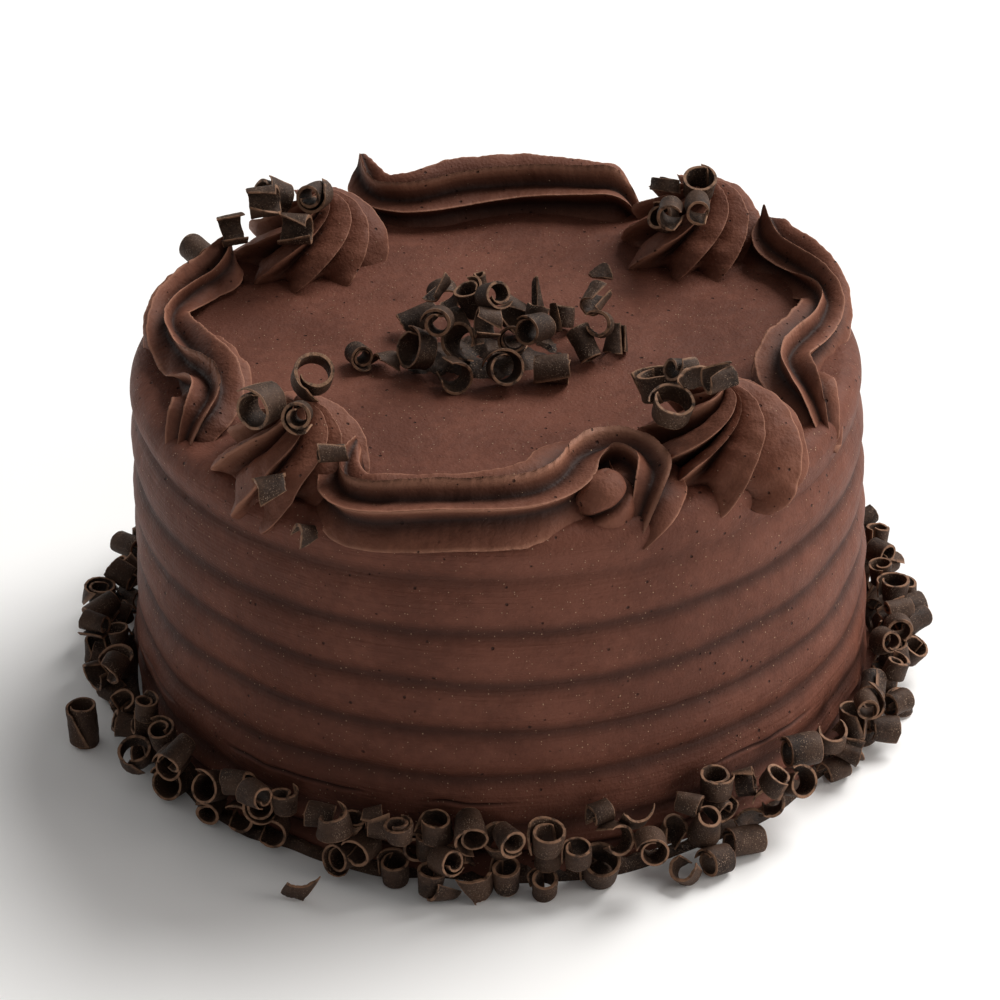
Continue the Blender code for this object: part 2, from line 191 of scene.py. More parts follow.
def added(name: str, data: bpy.types.ID) -> bpy.types.Object:
    """Puts a mesh, a light or a camera into the scene as an object."""
    thing = bpy.data.objects.new(name, data)
    bpy.context.scene.collection.objects.link(thing)
    return thing


@dataclass
class Skin:
    """The points, faces and point masks of a mesh in the making."""

    points: Array
    faces: list
    masks: dict = field(default_factory=dict)

    @staticmethod
    def of_rings(rings: Array, masks: dict, looped: bool = False, capped: bool = True) -> "Skin":
        """Stretches a skin over rings of equally many points.

        Args:
            rings: Points, an array of rings by points by xyz.
            masks: A mask's values for each point of each ring, by mask.
            looped: Whether the last ring joins the first.
            capped: Whether open ends are closed with a point in their middle.

        Returns:
            The skin.
        """
        rows, columns = rings.shape[:2]
        steps = rows if looped else rows - 1
        low = (np.arange(steps)[:, None] * columns + np.arange(columns)).ravel()
        low_next = (np.arange(steps)[:, None] * columns + np.roll(np.arange(columns), -1)).ravel()
        total = rows * columns
        quads = np.stack(
            [low, low_next, (low_next + columns) % total, (low + columns) % total], axis=1
        )
        points = rings.reshape(-1, 3)
        faces = quads.tolist()
        values = {mask: np.asarray(mask_values, float).reshape(-1) for mask, mask_values in masks.items()}
        if capped and not looped:
            ends = np.stack([rings[0].mean(axis=0), rings[-1].mean(axis=0)])
            points = np.concatenate([points, ends])
            last = total - columns
            for i in range(columns):
                j = (i + 1) % columns
                faces.append((j, i, total))
                faces.append((last + i, last + j, total + 1))
            for mask, mask_values in values.items():
                tips = (mask_values[:columns].mean(), mask_values[-columns:].mean())
                values[mask] = np.concatenate([mask_values, tips])
        return Skin(points, faces, values)

    @staticmethod
    def joined(skins: list["Skin"]) -> "Skin":
        """One skin that holds all the others."""
        points, faces, start = [], [], 0
        for skin in skins:
            points.append(skin.points)
            faces.extend([tuple(corner + start for corner in face) for face in skin.faces])
            start += len(skin.points)
        masks = {
            mask: np.concatenate([skin.masks[mask] for skin in skins]) for mask in skins[0].masks
        }
        return Skin(np.concatenate(points), faces, masks)

    def moved(self, by: Array) -> "Skin":
        """The same skin in another place."""
        return Skin(self.points + by, self.faces, self.masks)

    def made(self, name: str, finish: bpy.types.Material, sharp: float = 0.0) -> bpy.types.Object:
        """Makes the skin a mesh object of the scene.

        Args:
            name: The object's name.
            finish: Its material.
            sharp: Edges at more than this angle in degrees stay sharp; 0 leaves none sharp.

        Returns:
            The object.
        """
        mesh = bpy.data.meshes.new(name)
        mesh.from_pydata(self.points.tolist(), [], self.faces)
        for mask, values in self.masks.items():
            layer = mesh.attributes.new(mask.value, "FLOAT", "POINT")
            layer.data.foreach_set("value", np.asarray(values, np.float32))
        mesh.materials.append(finish)
        mesh.shade_smooth()
        if sharp:
            mesh.set_sharp_from_angle(angle=math.radians(sharp))
        return added(name, mesh)


def stand_for(piece: bpy.types.Object, node: str) -> None:
    """Puts a piece on the part's body in place of a CAD node.

    Args:
        piece: The finished piece.
        node: The CAD node that it stands for.
    """
    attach(piece, BODY)
    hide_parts(node)
    faces = sum(len(polygon.vertices) - 2 for polygon in piece.data.polygons)
    log.info("%s stands for %s with %d triangles", piece.name, node, faces)


class Bench:
    """Adds shader nodes to a tree and joins them."""

    def __init__(self, tree: bpy.types.NodeTree) -> None:
        """Works on one node tree."""
        self.tree = tree

    def add(self, kind: str, **settings: object) -> bpy.types.Node:
        """Adds a node.

        Args:
            kind: The node's type, without its prefix.
            **settings: Properties of the node.

        Returns:
            The node.
        """
        node = self.tree.nodes.new("ShaderNode" + kind)
        for key, value in settings.items():
            setattr(node, key, value)
        return node

    def feed(self, socket: bpy.types.NodeSocket, value: object) -> None:
        """Joins a socket to another one, or sets it to a plain value."""
        if isinstance(value, bpy.types.NodeSocket):
            self.tree.links.new(value, socket)
        else:
            socket.default_value = value

    def maths(self, operation: str, first: object, second: object = 0.0) -> bpy.types.NodeSocket:
        """The result of a sum on one or two numbers or sockets."""
        node = self.add("Math", operation=operation)
        self.feed(node.inputs[0], first)
        self.feed(node.inputs[1], second)
        return node.outputs[0]

    def ramp(self, value: object, low: float, high: float) -> bpy.types.NodeSocket:
        """A smooth 0 to 1 as a value goes from low to high."""
        node = self.add("MapRange", interpolation_type="SMOOTHSTEP")
        self.feed(node.inputs["Value"], value)
        self.feed(node.inputs["From Min"], low)
        self.feed(node.inputs["From Max"], high)
        return node.outputs["Result"]

    def tint(self, share: object, first: object, second: object) -> bpy.types.NodeSocket:
        """A colour between two colours."""
        node = self.add("Mix", data_type="RGBA")
        self.feed(node.inputs["Factor"], share)
        colours = [socket for socket in node.inputs if socket.type == "RGBA"]
        for socket, value in zip(colours, (first, second)):
            self.feed(socket, value)
        return next(socket for socket in node.outputs if socket.type == "RGBA")

    def place(self) -> bpy.types.NodeSocket:
        """The place on the object, in metres."""
        return self.add("TexCoord").outputs["Object"]

    def mask(self, mask: Mask) -> bpy.types.NodeSocket:
        """A point mask that the mesh carries."""
        node = self.add("Attribute", attribute_type="GEOMETRY", attribute_name=mask.value)
        return node.outputs["Fac"]

    def noise(self, scale: object, place: object, detail: float = 3.0) -> bpy.types.NodeSocket:
        """Soft noise from 0 to 1."""
        node = self.add("TexNoise")
        self.feed(node.inputs["Vector"], place)
        self.feed(node.inputs["Scale"], scale)
        self.feed(node.inputs["Detail"], detail)
        return node.outputs["Fac"]

    def effect(self, group: bpy.types.NodeTree, **values: object) -> bpy.types.Node:
        """Places a shared effect with its own values.

        Args:
            group: The effect's node group.
            **values: A value or socket for each of its inputs, spaces written as underscores.

        Returns:
            The placed group.
        """
        node = self.add("Group", node_tree=group)
        for key, value in values.items():
            self.feed(node.inputs[key.replace("_", " ")], value)
        return node

    def relief(self, shader: bpy.types.Node, depth: float, height: bpy.types.NodeSocket) -> None:
        """Gives a shader a relief of the given depth."""
        bump = self.add("Bump")
        self.feed(bump.inputs["Distance"], depth)
        self.feed(bump.inputs["Height"], height)
        self.feed(shader.inputs["Normal"], bump.outputs["Normal"])

    def uneven_gloss(self, shader: bpy.types.Node, share: bpy.types.NodeSocket, limits: tuple) -> None:
        """Lets a shader's roughness drift between two limits."""
        rough = self.add("MapRange")
        self.feed(rough.inputs["Value"], share)
        self.feed(rough.inputs["To Min"], limits[0])
        self.feed(rough.inputs["To Max"], limits[1])
        self.feed(shader.inputs["Roughness"], rough.outputs["Result"])


def new_finish(name: str) -> tuple[bpy.types.Material, Bench, bpy.types.Node]:
    """Starts a material, and gives it with a bench for its nodes and with its shader."""
    material = bpy.data.materials.new(name)
    material.use_nodes = True
    return material, Bench(material.node_tree), material.node_tree.nodes["Principled BSDF"]


class Effects:
    """The effects that more than one finish uses, each a node group that is made once."""

    least_speck: float = 0.45
    speck_edge: float = 0.45
    broad_share: float = 0.65
    fine_patch: float = 11.0
    tone_limits: tuple = (0.36, 0.64)
    lump_fineness: float = 0.2

    def __init__(self) -> None:
        """Makes the groups."""
        self.specks = self.make_specks()
        self.mottle = self.make_mottle()
        self.grain = self.make_grain()

    @staticmethod
    def sheet(name: str, inputs: dict, outputs: dict) -> tuple[Bench, bpy.types.Node, bpy.types.Node]:
        """Starts a node group.

        Args:
            name: The group's name.
            inputs: The socket type of each input, by name.
            outputs: The socket type of each output, by name.

        Returns:
            A bench for the group, its input node and its output node.
        """
        tree = bpy.data.node_groups.new(name, "ShaderNodeTree")
        for key, kind in inputs.items():
            tree.interface.new_socket(name=key, in_out="INPUT", socket_type="NodeSocket" + kind)
        for key, kind in outputs.items():
            tree.interface.new_socket(name=key, in_out="OUTPUT", socket_type="NodeSocket" + kind)
        return Bench(tree), tree.nodes.new("NodeGroupInput"), tree.nodes.new("NodeGroupOutput")

    def make_specks(self) -> bpy.types.NodeTree:
        """Small round specks or pits, in a share of the cells of a fine net."""
        bench, given, result = self.sheet(
            "specks",
            {"Place": "Vector", "Fineness": "Float", "Share": "Float", "Size": "Float"},
            {"Mask": "Float"},
        )
        cells = bench.add("TexVoronoi", feature="F1")
        bench.feed(cells.inputs["Vector"], given.outputs["Place"])
        bench.feed(cells.inputs["Scale"], given.outputs["Fineness"])
        parts = bench.add("SeparateColor")
        bench.feed(parts.inputs["Color"], cells.outputs["Color"])
        chosen = bench.maths("LESS_THAN", parts.outputs["Red"], given.outputs["Share"])
        reach = bench.maths("ADD", parts.outputs["Green"], self.least_speck)
        reach = bench.maths("MULTIPLY", reach, given.outputs["Size"])
        near = bench.maths("DIVIDE", cells.outputs["Distance"], reach)
        disc = bench.maths("SUBTRACT", 1.0, bench.ramp(near, self.speck_edge, 1.0))
        bench.feed(result.inputs["Mask"], bench.maths("MULTIPLY", disc, chosen))
        return bench.tree

    def make_mottle(self) -> bpy.types.NodeTree:
        """A colour that drifts between a darker and a lighter tone in soft patches."""
        bench, given, result = self.sheet(
            "mottle",
            {"Place": "Vector", "Dark": "Color", "Light": "Color", "Patch": "Float"},
            {"Color": "Color"},
        )
        place, patch = given.outputs["Place"], given.outputs["Patch"]
        broad = bench.maths("MULTIPLY", bench.noise(patch, place, 2.0), self.broad_share)
        fine = bench.noise(bench.maths("MULTIPLY", patch, self.fine_patch), place)
        fine = bench.maths("MULTIPLY", fine, 1 - self.broad_share)
        share = bench.ramp(bench.maths("ADD", broad, fine), *self.tone_limits)
        colour = bench.tint(share, given.outputs["Dark"], given.outputs["Light"])
        bench.feed(result.inputs["Color"], colour)
        return bench.tree

    def make_grain(self) -> bpy.types.NodeTree:
        """The height of a fine grain over softer lumps."""
        bench, given, result = self.sheet(
            "grain",
            {"Place": "Vector", "Fineness": "Float", "Lumps": "Float"},
            {"Height": "Float"},
        )
        place, fineness = given.outputs["Place"], given.outputs["Fineness"]
        fine = bench.noise(fineness, place, 4.0)
        lumps = bench.noise(bench.maths("MULTIPLY", fineness, self.lump_fineness), place, 2.0)
        lumps = bench.maths("MULTIPLY", lumps, given.outputs["Lumps"])
        bench.feed(result.inputs["Height"], bench.maths("ADD", fine, lumps))
        return bench.tree


@dataclass(frozen=True)
class Icing:
    """Chocolate buttercream: a satin brown with air pits, pale specks and fine marks, with painted shade in
    its crevices and pits and painted highlights on its crests.
    """

    name: str
    dark: tuple = (0.094, 0.0325, 0.0205, 1)
    light: tuple = (0.138, 0.050, 0.032, 1)
    # Painted highlight on the crests of the piping.
    crest_highlight: tuple = (0.27, 0.125, 0.080, 1)
    # Painted shade in the crevices, hollows and creases.
    crevice_shade: tuple = (0.015, 0.0058, 0.0042, 1)
    speck: tuple = (0.52, 0.34, 0.22, 1)
    # Painted shade in the air pits; the pits themselves are real dents.
    pit_shade: tuple = (0.022, 0.009, 0.007, 1)
    patch: float = 32.0
    pit_fineness: float = 780.0
    pit_share: float = 0.035
    pit_size: float = 0.32
    speck_fineness: float = 1500.0
    speck_share: float = 0.13
    speck_size: float = 0.26
    grain_fineness: float = 1200.0
    grain_height: float = 0.24 * MM
    scratch_height: float = 0.0
    roughness: tuple = (0.52, 0.68)
    specular: float = 0.13
    lumps: float = 1.2
    pit_shade_strength: float = 0.8
    pit_depth: float = 3.0
    speck_strength: float = 0.7
    speck_height: float = 0.8
    scratch_stretch: tuple = (30.0, 30.0, 1100.0)
    scratch_limits: tuple = (0.3, 0.7)

    def made(self, effects: Effects) -> bpy.types.Material:
        """Makes the material.

        Args:
            effects: The shared effects.

        Returns:
            The material.
        """
        material, bench, shader = new_finish(self.name)
        place = bench.place()
        colour = bench.effect(
            effects.mottle, Place=place, Dark=self.dark, Light=self.light, Patch=self.patch
        ).outputs["Color"]
        # Painted shade darkens the crevices, hollows and creases.
        colour = bench.tint(bench.mask(Mask.CREVICE), colour, self.crevice_shade)
        # Painted highlight lightens the crests.
        colour = bench.tint(bench.mask(Mask.CREST), colour, self.crest_highlight)
        pits = bench.effect(
            effects.specks, Place=place, Fineness=self.pit_fineness,
            Share=self.pit_share, Size=self.pit_size,
        ).outputs["Mask"]
        specks = bench.effect(
            effects.specks, Place=place, Fineness=self.speck_fineness,
            Share=self.speck_share, Size=self.speck_size,
        ).outputs["Mask"]
        # Painted shade darkens the air pits; the pale specks are the icing's own colour.
        colour = bench.tint(bench.maths("MULTIPLY", pits, self.pit_shade_strength), colour, self.pit_shade)
        colour = bench.tint(bench.maths("MULTIPLY", specks, self.speck_strength), colour, self.speck)
        bench.feed(shader.inputs["Base Color"], colour)
        grain = bench.effect(
            effects.grain, Place=place, Fineness=self.grain_fineness, Lumps=self.lumps
        ).outputs["Height"]
        height = bench.maths("SUBTRACT", grain, bench.maths("MULTIPLY", pits, self.pit_depth))
        height = bench.maths("ADD", height, bench.maths("MULTIPLY", specks, self.speck_height))
        if self.scratch_height:
            height = bench.maths("ADD", height, self.scratches(bench, place))
        bench.relief(shader, self.grain_height, height)
        bench.uneven_gloss(shader, bench.noise(self.patch * 6, place), self.roughness)
        shader.inputs["Specular IOR Level"].default_value = self.specular
        return material

    def scratches(self, bench: Bench, place: bpy.types.NodeSocket) -> bpy.types.NodeSocket:
        """The height of the fine level lines that the comb leaves on the wall.

        Args:
            bench: A bench for the material.
            place: The place on the object.

        Returns:
            The lines' height as a share of the grain's height.
        """
        stretched = bench.add("VectorMath", operation="MULTIPLY")
        bench.feed(stretched.inputs[0], place)
        stretched.inputs[1].default_value = self.scratch_stretch
        lines = bench.noise(1.0, stretched.outputs["Vector"], 2.0)
        flat = bench.add("SeparateXYZ")
        bench.feed(flat.inputs["Vector"], bench.add("NewGeometry").outputs["Normal"])
        steep = bench.maths("SUBTRACT", 1.0, bench.ramp(flat.outputs["Z"], *self.scratch_limits))
        lines = bench.maths("MULTIPLY", lines, self.scratch_height / self.grain_height)
        return bench.maths("MULTIPLY", lines, steep)


@dataclass(frozen=True)
class DarkChocolate:
    """Shaved dark chocolate: nearly black, dusted with bloom, with thin tan rims."""

    name: str = "shaved_dark_chocolate"
    dark: tuple = (0.017, 0.0092, 0.0064, 1)
    light: tuple = (0.062, 0.034, 0.022, 1)
    rim: tuple = (0.23, 0.125, 0.075, 1)
    bloom: tuple = (0.32, 0.22, 0.155, 1)
    patch: float = 120.0
    bloom_fineness: float = 2700.0
    bloom_share: float = 0.6
    bloom_size: float = 0.42
    grain_fineness: float = 2600.0
    grain_height: float = 0.16 * MM
    roughness: tuple = (0.50, 0.72)
    specular: float = 0.16
    tone_share: float = 0.5
    dust_limits: tuple = (0.42, 0.70)
    dust_patches: float = 0.70
    dust_everywhere: float = 0.12
    rim_patch_scale: float = 420.0
    rim_patch_limits: tuple = (0.30, 0.55)
    lumps: float = 1.6
    bloom_height: float = 0.8

    def made(self, effects: Effects) -> bpy.types.Material:
        """Makes the material.

        Args:
            effects: The shared effects.

        Returns:
            The material.
        """
        material, bench, shader = new_finish(self.name)
        place = bench.place()
        colour = bench.effect(
            effects.mottle, Place=place, Dark=self.dark, Light=self.light, Patch=self.patch
        ).outputs["Color"]
        inside = bench.maths("MULTIPLY", bench.mask(Mask.TONE), self.tone_share)
        colour = bench.tint(inside, colour, self.light)
        dusty = bench.ramp(bench.noise(self.patch * 1.7, place), *self.dust_limits)
        bloom = bench.effect(
            effects.specks, Place=place, Fineness=self.bloom_fineness,
            Share=self.bloom_share, Size=self.bloom_size,
        ).outputs["Mask"]
        dust = bench.maths("ADD", bench.maths("MULTIPLY", dusty, self.dust_patches), self.dust_everywhere)
        bloom = bench.maths("MULTIPLY", bloom, dust)
        colour = bench.tint(bloom, colour, self.bloom)
        # The curls' edges turn lighter tan in patches.
        rim_patches = bench.ramp(bench.noise(self.rim_patch_scale, place), *self.rim_patch_limits)
        colour = bench.tint(bench.maths("MULTIPLY", bench.mask(Mask.RIM), rim_patches), colour, self.rim)
        bench.feed(shader.inputs["Base Color"], colour)
        grain = bench.effect(
            effects.grain, Place=place, Fineness=self.grain_fineness, Lumps=self.lumps
        ).outputs["Height"]
        height = bench.maths("ADD", grain, bench.maths("MULTIPLY", bloom, self.bloom_height))
        bench.relief(shader, self.grain_height, height)
        bench.uneven_gloss(shader, bench.noise(self.patch * 3, place), self.roughness)
        shader.inputs["Specular IOR Level"].default_value = self.specular
        return material


@dataclass
class CombedCake:
    """The iced cake: a wall combed into soft bands, a rounded rim and a spread top."""

    columns: int = 400
    row_height: float = 0.75 * MM
    fine_rows: tuple = (17 * MM, 25 * MM, 0.27 * MM)
    rim_rows: int = 14
    top_step: float = 2.1 * MM
    top_hole: float = 1 * MM
    grooves: tuple = (13 * MM, 27.5 * MM, 42 * MM, 57 * MM, 72 * MM, 87 * MM)
    last_band: float = 16 * MM
    groove_depth: float = 1.8 * MM
    groove_unevenness: float = 0.25
    groove_shadow: float = 2.3 * MM
    groove_shade: float = 0.66
    groove_waver: float = 0.54 * MM
    band_bluntness: float = 0.015
    lit_angle: float = -0.75
    lit_from: float = 0.2
    last_shade: float = 0.75
    last_fade: float = 0.5
    tuck_top: float = 7.5 * MM
    tuck_height: float = 3.5 * MM
    foot_recess: float = 2.6 * MM
    foot_shade: float = 0.85
    foot_shade_height: float = 4.6 * MM
    foot_shade_width: float = 1.7 * MM
    ledge_height: float = 3.2 * MM
    ledge_reach: float = 1.8 * MM
    ledge_edge: float = 1.2 * MM
    ledge_unevenness: float = 0.35
    crack_height: float = 20.6 * MM
    crack_waves: tuple = ((1.1 * MM, 1.1), (0.35 * MM, 0.11))
    crack_share: float = 0.55
    crack_patch: float = 0.45
    crack_depth: float = 0.8 * MM
    crack_width: float = 0.42 * MM
    crack_shade: float = 0.8
    flake_thickness: float = 0.28 * MM
    flake_edge: float = 0.6 * MM
    flake_low: float = 9 * MM
    flake_rise: float = 4 * MM
    top_waves: tuple = ((0.45 * MM, 55 * MM), (0.12 * MM, 14 * MM))
    wall_waves: tuple = ((0.35 * MM, 34 * MM), (0.07 * MM, 6 * MM))
    flat_from: float = 88 * MM
    flat_span: float = 10 * MM

    def groove_heights(self, circle: Array) -> Array:
        """Heights of the grooves at places round the cake, which waver as a hand does."""
        heights = []
        for number, height in enumerate(self.grooves):
            heights.append(height + self.groove_waver * Ripple(20 + number, 2.6).at(circle))
        return np.stack(heights)

    def bands(self, angles: Array, z: Array) -> tuple[Array, Array]:
        """Combs the wall into bands.

        Args:
            angles: Angles round the cake.
            z: The height of each point, by row and angle.

        Returns:
            The distance of each point from the axis, and its mask of painted shade in the grooves.
        """
        circle = on_circle(angles)
        grooves = self.groove_heights(circle)
        edges = np.concatenate([grooves, grooves[-1:] + self.last_band])
        radius, crevice_shade = wall_radius(z), np.zeros_like(z)
        for number in range(len(self.grooves)):
            low, high = edges[number], edges[number + 1]
            share = (z - low) / (high - low)
            inside = (share >= 0) & (share < 1)
            shade = self.groove_shade
            # The painted shade of the last groove fades on the side that the key light falls on.
            if number == len(self.grooves) - 1:
                share = np.minimum(share, 0.5)
                inside = z >= low
                lit = eased((np.cos(angles - self.lit_angle) - self.lit_from) / (1 - self.lit_from))
                shade = shade * (self.last_shade - self.last_fade * lit)
            swell = (np.sin(math.pi * np.clip(share, 0, 1)) ** 2 + self.band_bluntness) ** 0.5
            depth = self.groove_depth * (1 + self.groove_unevenness * Ripple(40 + number, 1.4).at(circle))
            radius = np.where(inside, radius - depth * (1 - np.clip(swell, 0, 1)), radius)
            # Painted shade darkens each groove.
            crevice_shade = np.maximum(crevice_shade, shade * bell(z - low, self.groove_shadow))
        share = np.clip(z / grooves[0], 0, 1)
        hollow = (1 - np.sin(math.pi * share) ** 0.5) * (share > 0.5)
        radius = np.where(z < grooves[0], radius - self.groove_depth * hollow, radius)
        return radius, crevice_shade

    def wall(self, angles: Array, heights: Array) -> tuple[Array, Array]:
        """Shapes the wall: its bands, its foot and the crack low down in front.

        Args:
            angles: Angles round the cake.
            heights: Heights up the wall.

        Returns:
            The wall's distance from the axis, and its mask of painted shade in the grooves, under the foot
            and in the crack, by height and angle.
        """
        z = heights[:, None] + 0 * angles[None, :]
        circle = on_circle(angles)
        radius, crevice_shade = self.bands(angles, z)
        radius = radius - self.foot_recess * eased((self.tuck_top - z) / self.tuck_height)
        # Painted shade under the tucked-in foot.
        shade = self.foot_shade * bell(z - self.foot_shade_height, self.foot_shade_width)
        ledge = eased((self.ledge_height - z) / self.ledge_edge)
        ledge = ledge * (1 + self.ledge_unevenness * Ripple(61, 0.5).at(circle))
        radius = radius + (self.foot_recess + self.ledge_reach) * ledge
        crack = self.crack_height + unevenness(circle, self.crack_waves, 71)
        broken = eased(self.crack_share + Ripple(73, self.crack_patch).at(circle))
        broken = broken * eased(1.4 * np.cos(angles + math.pi / 2) + 0.35)
        line = bell(z - crack, self.crack_width) * broken
        flake = eased((crack - z) / self.flake_edge) * eased((z - self.flake_low) / self.flake_rise)
        radius = radius - self.crack_depth * line + self.flake_thickness * flake * broken
        # The mask joins the painted shade of the grooves, the foot and the crack.
        return radius, np.maximum(np.maximum(crevice_shade, shade), self.crack_shade * line)

    def build(self, finish: bpy.types.Material) -> bpy.types.Object:
        """Builds the iced cake.

        Args:
            finish: The icing.

        Returns:
            The cake.
        """
        angles = full_turn(self.columns)
        rim_foot = CAKE_HEIGHT - RIM_ROUND
        heights = np.arange(0, rim_foot - 0.2 * self.row_height, self.row_height)
        below, above = heights[heights < self.fine_rows[0]], heights[heights > self.fine_rows[1]]
        heights = np.concatenate([below, np.arange(*self.fine_rows), above])
        radius, crevice_shade = self.wall(angles, heights)
        turn = np.linspace(0, math.pi / 2, self.rim_rows)[:, None]
        rim_radius = TOP_RADIUS - RIM_ROUND + RIM_ROUND * np.cos(turn) + 0 * angles
        wall_end = self.wall(angles, np.array([rim_foot]))[0] - TOP_RADIUS
        rim_radius = rim_radius + wall_end * (1 - np.sin(turn))
        rim_height = rim_foot + RIM_ROUND * np.sin(turn) + 0 * angles
        inward = np.arange(TOP_RADIUS - RIM_ROUND, self.top_hole, -self.top_step)[1:, None]
        top_radius = inward + 0 * angles
        all_radius = np.concatenate([radius, rim_radius, top_radius])
        all_height = np.concatenate([heights[:, None] + 0 * angles, rim_height, CAKE_HEIGHT + 0 * top_radius])
        rings = np.stack([all_radius * np.cos(angles), all_radius * np.sin(angles), all_height], axis=-1)
        flat = eased((all_height - self.flat_from) / self.flat_span)
        for number, (height, length) in enumerate(self.top_waves):
            rings[..., 2] += flat * height * Ripple(5 + number, length).at(rings)
        swell = unevenness(rings, self.wall_waves, 7) * (1 - flat) * eased(all_height / (6 * MM))
        rings[..., 0] += swell * np.cos(angles)
        rings[..., 1] += swell * np.sin(angles)
        shadow = np.zeros_like(all_height)
        shadow[: len(heights)] = crevice_shade
        skin = Skin.of_rings(rings, {Mask.CREVICE: shadow, Mask.CREST: 0 * shadow})
        return skin.made("cake_iced", finish)


